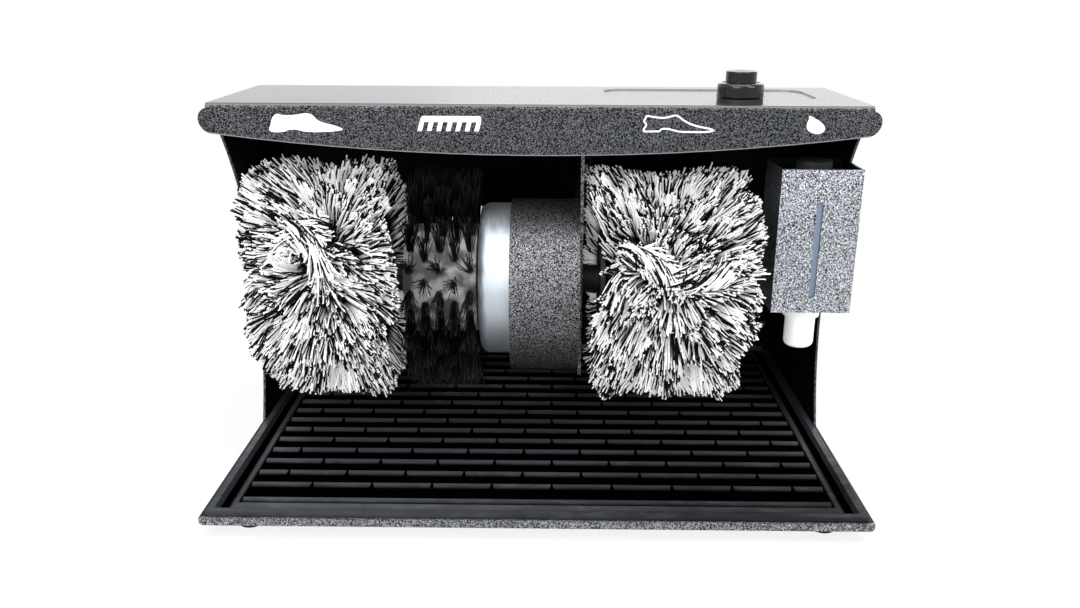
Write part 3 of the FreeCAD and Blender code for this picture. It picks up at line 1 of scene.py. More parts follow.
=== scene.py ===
import json
import math
import bpy
import bmesh
import numpy as np
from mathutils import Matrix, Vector


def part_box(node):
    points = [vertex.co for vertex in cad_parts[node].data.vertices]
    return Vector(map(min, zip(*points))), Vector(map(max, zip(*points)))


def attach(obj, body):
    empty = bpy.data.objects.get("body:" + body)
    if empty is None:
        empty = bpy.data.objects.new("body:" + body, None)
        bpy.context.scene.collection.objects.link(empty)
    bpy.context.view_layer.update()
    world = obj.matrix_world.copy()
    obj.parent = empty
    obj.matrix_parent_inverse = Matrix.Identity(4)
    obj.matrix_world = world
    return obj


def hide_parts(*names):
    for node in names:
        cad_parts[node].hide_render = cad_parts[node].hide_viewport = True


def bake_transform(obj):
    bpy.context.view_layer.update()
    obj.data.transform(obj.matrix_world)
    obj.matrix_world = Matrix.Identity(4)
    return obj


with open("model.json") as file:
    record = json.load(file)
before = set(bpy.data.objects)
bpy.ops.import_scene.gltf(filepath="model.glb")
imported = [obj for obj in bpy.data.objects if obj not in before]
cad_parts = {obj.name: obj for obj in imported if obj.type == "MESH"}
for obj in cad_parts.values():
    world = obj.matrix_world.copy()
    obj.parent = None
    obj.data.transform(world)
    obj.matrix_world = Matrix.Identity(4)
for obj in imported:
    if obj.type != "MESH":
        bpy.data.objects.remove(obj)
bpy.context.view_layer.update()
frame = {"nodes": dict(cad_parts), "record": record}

nodes = frame["nodes"]
mm = 0.001


# Places that the frame gives

hoodLow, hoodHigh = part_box("top_hood")
trayLow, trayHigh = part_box("base_tray")
shaftLow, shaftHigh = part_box("motor_shaft")
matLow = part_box("rubber_mat")[0]
axisY = (shaftLow.y + shaftHigh.y) / 2
axisZ = (shaftLow.z + shaftHigh.z) / 2
fasciaY = hoodLow.y


noiseSpan = (0.3, 0.7)


# One socket of a node tree. Arithmetic on it adds the tree's own Math nodes.

class Signal:
    def __init__(self, tree, socket=None):
        self.tree = tree
        self.socket = socket

    def node(self, kind, inputs=None, output=0, **settings):
        made = self.tree.nodes.new(kind)
        for name, value in settings.items():
            setattr(made, name, value)
        for key, value in (inputs or {}).items():
            if isinstance(value, Signal):
                self.tree.links.new(value.socket, made.inputs[key])
            else:
                made.inputs[key].default_value = value
        return Signal(self.tree, made.outputs[output] if len(made.outputs) else None)

    def math(self, operation, *others):
        inputs = {0: self}
        for place, other in enumerate(others):
            inputs[place + 1] = other
        return self.node("ShaderNodeMath", inputs, operation=operation)

    def __add__(self, other):
        return self.math("ADD", other)

    __radd__ = __add__

    def __sub__(self, other):
        return self.math("SUBTRACT", other)

    def __rsub__(self, other):
        return self.math("MULTIPLY_ADD", -1.0, other)

    def __mul__(self, other):
        return self.math("MULTIPLY", other)

    __rmul__ = __mul__

    def __truediv__(self, other):
        return self.math("DIVIDE", other)

    def __rtruediv__(self, other):
        return self.node("ShaderNodeMath", {0: other, 1: self}, operation="DIVIDE")

    def __pow__(self, other):
        return self.math("POWER", other)

    def sin(self):
        return self.math("SINE")

    def cos(self):
        return self.math("COSINE")

    def fade(self, low, high, start=0.0, end=1.0):
        # runs smoothly from start to end while this value goes from low to high
        inputs = {"Value": self, "From Min": low, "From Max": high, "To Min": start, "To Max": end}
        return self.node("ShaderNodeMapRange", inputs, interpolation_type="SMOOTHSTEP")

    def spread(self, start=0.0, end=1.0):
        # the same for noise, over the heights that it mostly keeps to
        return self.fade(*noiseSpan, start, end)

    def mix(self, share, first, second, how="MIX"):
        inputs = {0: share, 6: colour(first), 7: colour(second)}
        return self.node("ShaderNodeMix", inputs, output=2, data_type="RGBA", blend_type=how)

    def tone(self, first, second):
        # a colour between two, chosen by this value
        return self.mix(self, first, second)

    def part(self, axis):
        return self.node("ShaderNodeSeparateXYZ", {0: self}, output="XYZ".index(axis))


def colour(value):
    if isinstance(value, Signal):
        return value
    if isinstance(value, (int, float)):
        value = (value, value, value)
    return (*value, 1.0)


def scaled(tone, share):
    return tuple(min(1.0, part * share) for part in tone)


def emptyTree(owner):
    # clears the node tree of a material or world and gives its first signal
    owner.use_nodes = True
    owner.node_tree.nodes.clear()
    return Signal(owner.node_tree)


def addObject(name, data):
    added = bpy.data.objects.new(name, data)
    bpy.context.scene.collection.objects.link(added)
    return added


# Materials

def newMaterial(name, constants, build):
    # constants go straight onto the shader's sockets, build returns what varies over the surface
    material = bpy.data.materials.new(name)
    start = emptyTree(material)
    place = start.node("ShaderNodeTexCoord", output="Object")
    inputs = {}
    for key, value in constants.items():
        inputs[key] = colour(value) if key == "Base Color" else value
    inputs.update(build(place))
    shader = start.node("ShaderNodeBsdfPrincipled", inputs)
    start.node("ShaderNodeOutputMaterial", {"Surface": shader})
    return material


def noise(place, scale, detail=2.0, distortion=0.0, output="Fac"):
    inputs = {"Vector": place, "Scale": scale, "Detail": detail, "Distortion": distortion}
    return place.node("ShaderNodeTexNoise", inputs, output=output)


def stretched(place, scale):
    return place.node("ShaderNodeMapping", {"Vector": place, "Scale": scale}, vector_type="POINT")


def bump(height, depth):
    return height.node("ShaderNodeBump", {"Height": height, "Strength": 1.0, "Distance": depth})


hammertone = {
    "grain": 1180.0,             # blobs to the metre
    "stretch": 1.2,
    "wormsFrom": 0.505,          # heights of the blobs between which a dark cell turns into a light worm
    "wormsTo": 0.55,
    "depth": 0.00009,
    "cloudScale": 14.0,
    "highlightBrightness": 2.0,
    "shine": 0.12,
    "coatRoughness": 0.12,
}


def hammertonePaint(name, dark, light, coat=0.22, evenness=0.0, edge=None, fineness=1.0):
    # dark cells with light worms between them; edge marks where a painted highlight brightens the paint
    def build(place):
        blobs = noise(place, hammertone["grain"] * fineness, 2.0, hammertone["stretch"])
        worms = blobs.fade(hammertone["wormsFrom"] - evenness, hammertone["wormsTo"] + evenness)
        clouds = noise(place, hammertone["cloudScale"], 2.0).spread(0.9, 1.08)
        paint = worms.mix(1.0, worms.tone(dark, light), clouds, "MULTIPLY")
        if edge:
            # painted highlight: the worms turn brighter where edge marks
            highlightTone = scaled(light, hammertone["highlightBrightness"])
            paint = blobs.mix(edge(place), paint, blobs.tone(light, highlightTone))
        return {
            "Base Color": paint,
            "Roughness": 0.5 - worms * 0.16,
            "Metallic": worms * 0.4 + 0.3,
            "Normal": bump(blobs.fade(0.36, 0.66), hammertone["depth"] * (1.0 - evenness * 2.0)),
        }
    constants = {"Coat Weight": coat, "Coat Roughness": hammertone["coatRoughness"],
                 "Specular IOR Level": hammertone["shine"]}
    return newMaterial(name, constants, build)


stripHighlightLook = {
    "drop": 0.0306,              # lowest point of the curve below the hood's top
    "halfWidth": 0.196,
    "rise": 0.0121,              # how much higher the curve ends at both sides
    "width": 0.0007,
    "depth": 0.0012,
}


def stripHighlight(place):
    # painted highlight: near the curved lower edge of the front strip the paint is brightened
    lowest = hoodHigh.z - stripHighlightLook["drop"]
    across = place.part("X") / stripHighlightLook["halfWidth"]
    height = place.part("Z") - lowest - across * across * stripHighlightLook["rise"]
    onFront = (place.part("Y") - fasciaY).fade(stripHighlightLook["depth"] / 2, stripHighlightLook["depth"], 1.0, 0.0)
    return height.fade(stripHighlightLook["width"] * 0.6, stripHighlightLook["width"], 1.0, 0.0) * onFront


def satinBlack(name, tone=0.0015, shine=0.14):
    def build(place):
        speck = noise(place, 900.0, 2.0)
        smear = noise(place, 22.0, 3.0)
        return {
            "Base Color": smear.fade(0.3, 0.75).tone(tone, tone * 1.7),
            "Roughness": smear.spread(0.42, 0.58),
            "Normal": bump(speck, 0.00002),
        }
    return newMaterial(name, {"Specular IOR Level": shine}, build)


wearAndLightShares = {
    # painted highlight on the rubber, stronger towards the back and the left, mixed with wear: places, then
    # how much there
    "alongY": (-0.12, 0.06, 0.8, 5.0),
    "alongX": (-0.15, 0.12, 1.6, 0.7),
    "even": 0.35,
    "dust": 0.8,
    "scuffs": 0.5,
}


def rubberBlack(name, valley, crest, heights, shine):
    # painted shade and highlight: black in the valleys and lighter towards the crests between two heights,
    # mixed with wear
    def build(place):
        grain = noise(place, 1300.0, 3.0)
        dust = noise(place, 38.0, 4.0, 0.4)
        scuffs = noise(stretched(place, (0.25, 1.0, 1.0)), 260.0, 3.0, 0.8).fade(0.45, 0.75)
        wear = wearAndLightShares["even"] + dust * wearAndLightShares["dust"] + scuffs * wearAndLightShares["scuffs"]
        wearAndPaintedLight = place.part("Z").fade(*heights) * wear
        # painted highlight: lighter towards the back and the left
        wearAndPaintedLight = wearAndPaintedLight * place.part("Y").fade(*wearAndLightShares["alongY"]) * place.part("X").fade(*wearAndLightShares["alongX"])
        return {
            "Base Color": wearAndPaintedLight.tone(valley, crest),
            "Roughness": 0.62 - wearAndPaintedLight * 0.22,
            "Coat Weight": wearAndPaintedLight * 0.3,
            "Normal": bump(grain * 0.6 + dust * 0.4, 0.00006),
        }
    return newMaterial(name, {"Specular IOR Level": shine, "Coat Roughness": 0.3}, build)


def smoothPlastic(name, tone, roughness, shine=0.5, coat=0.0, swirl=0.06, glow=0.0):
    def build(place):
        haze = noise(place, 60.0, 3.0)
        return {
            "Base Color": haze.spread().tone(scaled(tone, 1.0 - swirl), scaled(tone, 1.0 + swirl)),
            "Roughness": haze.spread(roughness * 0.85, roughness * 1.2),
            "Normal": bump(noise(place, 420.0, 2.0), 0.000012),
        }
    # glow makes a plastic glow in its own tone: painted light
    constants = {"Specular IOR Level": shine, "Coat Weight": coat, "Coat Roughness": 0.06,
                 "Emission Color": colour(tone), "Emission Strength": glow}
    return newMaterial(name, constants, build)


def mottledHub(name, dark, light):
    # grey moulding with random darker and lighter patches: painted shade and light standing in for the tufts'
    # shadows on the hub
    def build(place):
        patches = noise(place, 75.0, 2.0)
        return {
            "Base Color": patches.fade(0.38, 0.62).tone(dark, light),
            "Roughness": patches.spread(0.5, 0.7),
        }
    return newMaterial(name, {"Specular IOR Level": 0.3}, build)


def turnedMetal(name, tone, roughness, grain=(1.0, 1.0, 1.0), scratch=1600.0, metallic=1.0):
    def build(place):
        lines = noise(stretched(place, grain), scratch, 3.0)
        clouds = noise(place, 45.0, 3.0)
        mottle = (lines * 0.5 + clouds * 0.5).spread()
        return {
            "Base Color": mottle.tone(scaled(tone, 0.86), scaled(tone, 1.08)),
            "Roughness": lines.spread(roughness * 0.8, roughness * 1.25),
            "Normal": bump(lines, 0.00001),
        }
    return newMaterial(name, {"Metallic": metallic}, build)


def cottonYarn(name, root, tip, roughness=0.85, glow=0.23):
    # painted shade: strands are darker where they leave the hub and lighter at their ends, and the lighter
    # parts glow a little as painted light
    def build(place):
        along = place.node("ShaderNodeAttribute", attribute_name="along", output="Fac")
        shade = place.node("ShaderNodeAttribute", attribute_name="shade", output="Fac")
        fuzz = noise(place, 2400.0, 2.0)
        paintedLight = along.fade(0.42, 0.72) * (0.72 + shade * 0.28)
        return {
            "Base Color": (paintedLight * (0.9 + fuzz * 0.2)).tone(root, tip),
            "Emission Color": paintedLight.tone(0.0, tip),
            "Normal": bump(fuzz, 0.0001),
        }
    constants = {"Roughness": roughness, "Specular IOR Level": 0.12, "Emission Strength": glow}
    return newMaterial(name, constants, build)


def bristleNylon(name):
    def build(place):
        shade = place.node("ShaderNodeAttribute", attribute_name="shade", output="Fac")
        # the shade attribute holds the painted highlight on the cut ends
        return {
            "Base Color": shade.tone(0.001, 0.022),
            "Roughness": 0.5 + shade * 0.2,
        }
    return newMaterial(name, {"Specular IOR Level": 0.15}, build)


def translucentBottle(name, tone):
    def build(place):
        depth = place.part("Z").fade(0.12, 0.20)
        haze = noise(place, 50.0, 2.0)
        return {
            "Base Color": (depth * 0.7 + haze * 0.3).tone(scaled(tone, 0.75), tone),
            "Roughness": haze.spread(0.3, 0.42),
        }
    return newMaterial(name, {"Subsurface Weight": 0.2, "Subsurface Radius": (0.004, 0.004, 0.005)}, build)


def windingWire(name):
    def build(place):
        turns = noise(stretched(place, (1.0, 0.12, 0.12)), 1800.0, 2.0)
        return {
            "Base Color": turns.fade(0.35, 0.65).tone((0.20, 0.06, 0.02), (0.62, 0.26, 0.10)),
            "Normal": bump(turns, 0.0002),
        }
    return newMaterial(name, {"Metallic": 0.8, "Roughness": 0.35}, build)


finishes = {
    # the front strip's paint carries a painted highlight along its lower edge
    "hood_paint": hammertonePaint("charcoalHammertone", (0.002, 0.0025, 0.003), (0.14, 0.146, 0.157), 0.05,
                                  edge=stripHighlight),
    "hood_top": hammertonePaint("polishedHammertone", (0.043, 0.045, 0.05), (0.047, 0.05, 0.056), 0.82, 0.49),
    # the recess walls are painted much lighter than the top around them, as painted light that softens their
    # shade
    "recess_wall": hammertonePaint("recessLitHammertone", (0.30, 0.31, 0.32), (0.36, 0.37, 0.39), 0.4, 0.4),
    "rim_paint": hammertonePaint("rimHammertone", (0.025, 0.026, 0.028), (0.37, 0.38, 0.39)),
    "cowl_paint": hammertonePaint("cowlHammertone", (0.0003, 0.0003, 0.0006), (0.27, 0.275, 0.29), 0.0,
                                  fineness=1.2),
    "dispenser_paint": hammertonePaint("paleHammertone", (0.006, 0.008, 0.012), (0.86, 0.90, 0.96), 0.08,
                                       fineness=1.2),
    "black_paint": satinBlack("blackEnamel"),
    # the mat and the feet get painted shade low down and a painted highlight higher up
    "mat_rubber": rubberBlack("mouldedRubber", 0.0002, (0.036, 0.039, 0.044),
                              (matLow.z + 0.0018, matLow.z + 0.0034), 0.0),
    "foot_rubber": rubberBlack("footRubber", 0.006, 0.012, (0.0, 0.009), 0.3),
    "plated_steel": turnedMetal("zincPlate", (0.56, 0.56, 0.58), 0.34),
    "bright_steel": turnedMetal("groundSteel", (0.62, 0.62, 0.63), 0.24, (0.1, 1.0, 1.0)),
    "motor_silver": turnedMetal("silverLacquer", (0.51, 0.56, 0.61), 0.5, (1.0, 0.06, 0.06), 2200.0, 0.83),
    "lamination": turnedMetal("laminations", (0.30, 0.30, 0.32), 0.45, (1.0, 0.02, 0.02), 2600.0),
    "copper_wire": windingWire("enamelledCopper"),
    "spring_steel": turnedMetal("springSteel", (0.50, 0.50, 0.50), 0.3),
    "brush_hub": mottledHub("hubMoulding", 0.10, 0.50),
    "black_gloss": smoothPlastic("glossBlack", (0.0015, 0.0015, 0.002), 0.1, 0.35, 0.12),
    "black_matte": smoothPlastic("mattBlack", (0.012, 0.012, 0.012), 0.5, 0.4),
    # the white plastic glows a little in its own tone: painted light that makes it read brighter
    "white_plastic": smoothPlastic("glossWhite", (0.97, 0.97, 0.97), 0.3, 0.5, 0.2, 0.02, 0.15),
    "bottle_plastic": translucentBottle("paleBlueBottle", (0.21, 0.28, 0.38)),
    "grey_plastic": smoothPlastic("greyMoulding", (0.28, 0.28, 0.29), 0.45),
    "board_green": smoothPlastic("greenLaminate", (0.03, 0.13, 0.06), 0.4),
    "sign_white": smoothPlastic("printedWhite", (0.88, 0.88, 0.88), 0.45, 0.3, 0.0, 0.01),
}


# Sheet metal is hammertone outside and plain black inside

paintedOutside = {
    "inside": (0.0, hoodLow.y + 0.06, 0.13),     # a point well inside the housing
    "hemDepth": 0.004,       # of the front strip's folded lower edge
    "topDepth": 0.01,        # how far below the top a face still counts as part of it
    "sheet": 0.0016,         # a little more than the sheet's thickness
    "sideDepth": 0.008,      # how far from the sides a face still counts as part of them
    "edgeShare": 0.35,       # how much of its normal a face must turn to one side to count as facing it
}


def facesInwards(polygon):
    # true for a face that looks at the inside of the housing
    centre = polygon.center
    nearSide = abs(centre.x) > hoodHigh.x - paintedOutside["sideDepth"]
    if nearSide and abs(polygon.normal.x) > paintedOutside["edgeShare"]:
        return polygon.normal.x * centre.x < 0
    towards = centre - Vector(paintedOutside["inside"])
    towards.x = 0.0
    return polygon.normal.dot(towards.normalized()) < -paintedOutside["edgeShare"]


def dress(name, *slots):
    # gives a CAD node these finishes in place of its own, and returns its mesh
    mesh = nodes[name].data
    mesh.materials.clear()
    for slot in slots:
        mesh.materials.append(finishes[slot])
    return mesh


def paintShell(name, extras=(), keepsOutside=None):
    shell = dress(name, "hood_paint", "black_paint", *extras)
    for polygon in shell.polygons:
        kept = keepsOutside and keepsOutside(polygon)
        polygon.material_index = 1 if facesInwards(polygon) and not kept else 0
    return shell


def paintHood():
    topDepth = paintedOutside["topDepth"]
    hemLimit = fasciaY + paintedOutside["hemDepth"]

    def onHem(face):
        lowEnough = face.center.z < hoodHigh.z - 0.015
        return lowEnough and face.center.y < hemLimit and abs(face.normal.z) > 0.5

    top, wall = 2, 3         # after the two paints of every shell
    for polygon in paintShell("top_hood", ("hood_top", "recess_wall"), onHem).polygons:
        centre, normal = polygon.center, polygon.normal
        onTop = centre.z > hoodHigh.z - topDepth
        inRecess = onTop and centre.y > fasciaY + topDepth and abs(centre.x) < hoodHigh.x - topDepth
        # the recess walls take the lighter paint: painted light
        if inRecess and abs(normal.z) < 0.5:
            polygon.material_index = wall
        if onTop and normal.z > 0.5:
            polygon.material_index = top


def paintPanels():
    paintShell("back_panel")
    for name in ("left_side_panel", "right_side_panel"):
        for polygon in paintShell(name).polygons:
            if abs(polygon.center.x) < trayHigh.x - paintedOutside["sheet"]:
                polygon.material_index = 1


def paintTray():
    for polygon in dress("base_tray", "rim_paint", "black_paint").polygons:
        onRim = polygon.center.y < trayLow.y + paintedOutside["sheet"]
        polygon.material_index = 0 if onRim or polygon.normal.z < -0.5 else 1


def paintBracket():
    for polygon in dress("motor_bracket", "black_paint", "cowl_paint").polygons:
        facesFront = polygon.normal.y < -0.7 and abs(polygon.normal.x) < 0.1
        polygon.material_index = 1 if facesFront else 0


def paintDispenser():
    low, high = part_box("dispenser_housing")
    skin = 0.0004
    hem = 0.002
    for polygon in dress("dispenser_housing", "dispenser_paint", "black_paint", "hood_paint").polygons:
        centre, normal = polygon.center, polygon.normal
        onFront = centre.y < low.y + skin or (abs(normal.z) > 0.5 and centre.y < low.y + hem)
        # painted shade: the left face gets the darker charcoal paint
        onShadedLeft = centre.x < low.x + skin
        onBottom = centre.z < low.z + skin
        polygon.material_index = 0 if onFront or onBottom else 2 if onShadedLeft else 1


def assignFinishes():
    for part in frame["record"]["subparts"]:
        if part["material_slot"] in finishes:
            dress(part["node"], part["material_slot"])
    for name in ("shaft_spacers", "left_cotton_hub", "right_cotton_hub", "m4_nuts"):
        dress(name, "black_matte")
    paintHood()
    paintPanels()
    paintTray()
    paintBracket()
    paintDispenser()


def readAll(items, name, parts=1, kind=float):
    values = np.empty(len(items) * parts, dtype=kind)
    items.foreach_get(name, values)
    return values.reshape(-1, parts) if parts > 1 else values


def roundShading(target, limit=math.radians(38.0)):
    # Lights curved faces smoothly. Triangles stay as they are, only their corners' normals change.
    mesh = target.data
    count = len(mesh.polygons)
    normals = readAll(mesh.polygons, "normal", 3)
    areas = readAll(mesh.polygons, "area")
    places = readAll(mesh.vertices, "co", 3)
    corners = readAll(mesh.loops, "vertex_index", kind=np.int64)
    owners = np.repeat(np.arange(count), readAll(mesh.polygons, "loop_total", kind=np.int64))
    keys = np.round(places * 1e5).astype(np.int64)[corners]      # corners within 0.01 mm are one
    shared, spot = np.unique(keys, axis=0, return_inverse=True)
    spot = spot.reshape(-1)
    order = np.argsort(spot, kind="stable")
    starts = np.searchsorted(spot[order], np.arange(len(shared) + 1))
    result = normals[owners].copy()
    least = math.cos(limit)
    for k in range(len(shared)):
        group = order[starts[k]:starts[k + 1]]
        faces = normals[owners[group]]
        near = (faces @ faces.T) > least
        summed = near @ (faces * areas[owners[group]][:, None])
        size = np.linalg.norm(summed, axis=1)
        good = size > 1e-12
        result[group[good]] = summed[good] / size[good][:, None]
    mesh.polygons.foreach_set("use_smooth", np.ones(count, dtype=bool))
    mesh.normals_split_custom_set(result.tolist())


def stretchSpring(name, node):
    # A spring copied into a plain mesh in the place of its CAD node, which is hidden. The switch's cap is
    # above its spring, and the nozzle below its own.
    coil = addObject(name, nodes[node].data.copy())
    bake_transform(coil)
    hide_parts(node)


assignFinishes()
for part in frame["record"]["subparts"]:
    roundShading(nodes[part["node"]])
stretchSpring("switchCoil", "switch_spring")
stretchSpring("nozzleCoil", "nozzle_spring")
print("finishes on the metal and plastic pieces")


# Geometry trees: a small set of calls that all of them use

def newTree(name, sizes):
    # sizes gives the named inputs: floats, whole numbers and a material
    kinds = {float: "NodeSocketFloat", int: "NodeSocketInt", bpy.types.Material: "NodeSocketMaterial"}
    tree = bpy.data.node_groups.new(name, "GeometryNodeTree")
    for label, value in sizes.items():
        tree.interface.new_socket(name=label, in_out="INPUT", socket_type=kinds[type(value)])
    tree.interface.new_socket(name="Geometry", in_out="OUTPUT", socket_type="NodeSocketGeometry")
    entry = tree.nodes.new("NodeGroupInput")
    given = {label: Signal(tree, entry.outputs[label]) for label in sizes}
    return Signal(tree), given


def closeTree(geometry, finish):
    real = geometry.node("GeometryNodeRealizeInstances", {0: geometry})
    dressed = real.node("GeometryNodeSetMaterial", {"Geometry": real, "Material": finish})
    dressed.node("NodeGroupOutput", {"Geometry": dressed})
    return geometry.tree


def grow(name, tree, sizes, body):
    # runs a tree on an empty mesh and keeps the result as a plain mesh that rides on a body
    holder = addObject(name + "Holder", bpy.data.meshes.new(name + "Holder"))
    modifier = holder.modifiers.new("grow", "NODES")
    modifier.node_group = tree
    for item in tree.interface.items_tree:
        if item.in_out == "INPUT":
            modifier[item.identifier] = sizes[item.name]
    graph = bpy.context.evaluated_depsgraph_get()
    mesh = bpy.data.meshes.new_from_object(holder.evaluated_get(graph), preserve_all_data_layers=True,
                                           depsgraph=graph)
    holder.modifiers.clear()
    bpy.data.objects.remove(holder)
    mesh.name = name
    piece = addObject(name, mesh)
    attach(piece, body)
    print(name, len(mesh.polygons), "faces")
    return piece


def chance(number, seed, low=-1.0, high=1.0):
    # a steady random value for each whole number
    inputs = {2: low, 3: high, "ID": number, "Seed": seed}
    return number.node("FunctionNodeRandomValue", inputs, output=1, data_type="FLOAT")


def combine(signal, x, y, z):
    return signal.node("ShaderNodeCombineXYZ", {0: x, 1: y, 2: z})


def wobble(place, scale, detail, amount):
    # an offset to any side that changes softly from place to place
    drift = noise(place, scale, detail, output="Color")
    drift = place.node("ShaderNodeVectorMath", {0: drift, 1: (0.5, 0.5, 0.5)}, operation="SUBTRACT")
    return place.node("ShaderNodeVectorMath", {0: drift, "Scale": amount}, operation="SCALE")


def strandCurves(start, count, points):
    # count straight curves of some points each; number tells them apart and along runs from 0 to 1
    line = start.node("GeometryNodeCurvePrimitiveLine", {"End": (0.0, 0.0, 1.0)}, mode="POINTS")
    line = start.node("GeometryNodeResampleCurve", {"Curve": line, "Count": points}, mode="COUNT")
    seats = start.node("GeometryNodePoints", {"Count": count})
    copies = start.node("GeometryNodeInstanceOnPoints", {"Points": seats, "Instance": line})
    curves = start.node("GeometryNodeRealizeInstances", {0: copies})
    index = start.node("GeometryNodeInputIndex")
    number = (index / float(points)).math("FLOOR")
    along = (index - number * float(points)) / float(points - 1)
    return curves, number, along


def keepAttribute(geometry, name, value):
    inputs = {"Geometry": geometry, "Name": name, "Value": value}
    return geometry.node("GeometryNodeStoreNamedAttribute", inputs, data_type="FLOAT", domain="POINT")


def thicken(curves, width, thickness, twist, taper=1.0):
    # gives each curve a flat three-sided section
    tilted = curves.node("GeometryNodeSetCurveTilt", {"Curve": curves, "Tilt": twist})
    tilted = curves.node("GeometryNodeSetCurveRadius", {"Curve": tilted, "Radius": taper})
    section = curves.node("GeometryNodeCurvePrimitiveCircle", {"Resolution": 3, "Radius": 0.5}, mode="RADIUS")
    scale = combine(curves, width, thickness, 1.0)
    section = curves.node("GeometryNodeTransform", {"Geometry": section, "Scale": scale})
    inputs = {"Curve": tilted, "Profile Curve": section, "Fill Caps": True}
    return curves.node("GeometryNodeCurveToMesh", inputs)


def onCylinder(x, angle, radius):
    # angle 0 faces the front and grows upwards
    return combine(angle, x, axisY - radius * angle.cos(), axisZ + radius * angle.sin())


# Cotton brushes

def around(arc, other):
    # the shorter way from one place on the circumference to another
    gap = arc - other
    return gap - (gap / (math.tau * flowRadius)).math("ROUND") * (math.tau * flowRadius)


def flowAround(x, arc, crowns, softness):
    # Direction in which strands lie: away from every crown, with some swirl. Both parts come back
    # with a closeness that falls to nothing at a crown, where strands stand up straight.
    flowX, flowArc = 0.0, 0.0
    for crown in crowns:
        dx = x - crown["x"]
        dArc = around(arc, crown["arc"])
        weight = crown["weight"] / (dx * dx + dArc * dArc + 1e-6)
        flowX = (dx - dArc * crown["swirl"]) * weight + flowX
        flowArc = (dArc + dx * crown["swirl"]) * weight + flowArc
    size = (flowX * flowX + flowArc * flowArc).math("SQRT")
    pull = size / sum(crown["weight"] for crown in crowns if crown["front"])
    closeness = pull.fade(*cottonFlow["pulls"], cottonFlow["farShare"], 1.0)
    closeness = closeness / ((size * softness) ** 2.0 + 1.0)
    turn = arc / flowRadius
    spot = combine(x, x, turn.cos() * flowRadius, turn.sin() * flowRadius)
    swirl = noise(spot, cottonFlow["swirlScale"], 1.0, output="Color")
    alongX = flowX / size * closeness + (swirl.part("X") - 0.5) * cottonFlow["swirl"]
    alongArc = flowArc / size * closeness + (swirl.part("Y") - 0.5) * cottonFlow["swirl"]
    alongArc = alongArc.math("MINIMUM", alongArc * cottonFlow["upShare"]) - cottonFlow["droop"]
    return alongX, alongArc, swirl.part("Z")


def hollowed(x, arc, dents):
    # how much shorter strands are in the worn places, as a share of their length
    share = 1.0
    for dent in dents:
        dx = (x - dent["x"]) / dent["width"]
        dArc = around(arc, dent["arc"]) / dent["height"]
        deep = (dx * dx + dArc * dArc).math("SQRT").fade(0.6, 1.15, dent["depth"], 0.0)
        share = share * (1.0 - deep)
    return share


def pushed(x, arc, bulges):
    # how far strands are pushed sideways in some places
    total = 0.0
    for bulge in bulges:
        dx = (x - bulge["x"]) / bulge["width"]
        dArc = (arc - bulge["arc"]) / bulge["height"]
        total = (dx * dx + dArc * dArc).math("SQRT").fade(0.2, 1.2, bulge["push"], 0.0) + total
    return total


def closeYarn(curves, given, number, lightAlong):
    # the yarn's paint reads both attributes
    seed = given["Seed"]
    # along carries the painted shade at the roots and the painted glow at the ends
    curves = keepAttribute(curves, "along", lightAlong)
    curves = keepAttribute(curves, "shade", chance(number, seed + 5.0, 0.0, 1.0))
    twist = chance(number, seed + 6.0, -1.5, 1.5)
    strands = thicken(curves, given["Strand width"], given["Strand thickness"], twist)
    return closeTree(strands, given["Yarn"])


def cottonTree(name, sizes, crowns, dents, bulges):
    start, given = newTree(name, sizes)
    curves, number, along = strandCurves(start, given["Strands"], sizes["Points"])
    seed = given["Seed"]
    clump = (number / given["Strands in a clump"]).math("FLOOR")
    # Clumps are spread evenly over the hub, strands at random inside their clump. u runs from -1 at
    # the brush's left end to 1 at its right end.
    clumpU = (clump * evenSpread["x"] + evenSpread["start"]).math("FRACT") * 2.0 - 1.0
    clumpAngle = (clump * evenSpread["angle"]).math("FRACT") * math.tau
    spreadU = chance(number, seed) * given["Clump spread"]
    spreadAngle = chance(number, seed + 1.0) * given["Clump spread"]
    u = (clumpU + spreadU).math("MAXIMUM", -1.0).math("MINIMUM", 1.0)
    angle = clumpAngle + spreadAngle
    flowX, flowArc, swell = flowAround(u * given["Tip half width"], angle * flowRadius, crowns,
                                     given["Softness"])
    # some clumps lie flat and others stand up between them
    flat = chance(clump, 10, given["Least lean"], 1.0)
    flat = flat * chance(number, seed + 7.0, 0.7, 1.1) * given["Lean"]
    leanX = flowX * flat + chance(clump, 11) * given["Clump stray"]
    leanArc = flowArc * flat + chance(clump, 12) * given["Clump stray"]
    leanX = leanX + chance(number, seed + 2.0) * given["Strand stray"]
    leanArc = leanArc + chance(number, seed + 3.0) * given["Strand stray"]
    fan = u * (given["Tip half width"] - given["Root half width"])
    bend = along ** given["Bend"]
    reach = given["Tip half width"]
    tipX = u * given["Root half width"] + fan + leanX
    length = chance(number, seed + 4.0, given["Shortest"], 1.0)
    length = length * hollowed(tipX, angle * flowRadius + leanArc, dents)
    length = length * swell.fade(0.32, 0.62, 1.0 - cottonFlow["unevenness"], 1.0)
    roundEnd = 1.0 - (tipX / reach).math("ABSOLUTE").fade(*cottonFlow["rounded"]) * given["End rounding"]
    rise = (given["Tip radius"] - given["Root radius"]) * length * roundEnd
    stub = cottonFlow["stubShare"]
    x = u * given["Root half width"] + (fan + leanX) * bend * (stub + length * (1.0 - stub))
    # the outermost strands are held back softly
    x = (x / reach * cottonFlow["heldBack"]).math("TANH") * reach * given["Widening"] + given["Middle"]
    x = x + pushed(tipX, angle * flowRadius + leanArc, bulges) * bend
    radius = given["Root radius"] + rise * along ** given["Climb"]
    turned = angle + leanArc * bend / flowRadius
    place = onCylinder(x, turned, radius)
    wave = wobble(place, given["Ripple scale"], 1.0, along * given["Ripple"])
    curves = start.node("GeometryNodeSetPosition", {"Geometry": curves, "Position": place, "Offset": wave})
    return closeYarn(curves, given, number, along)


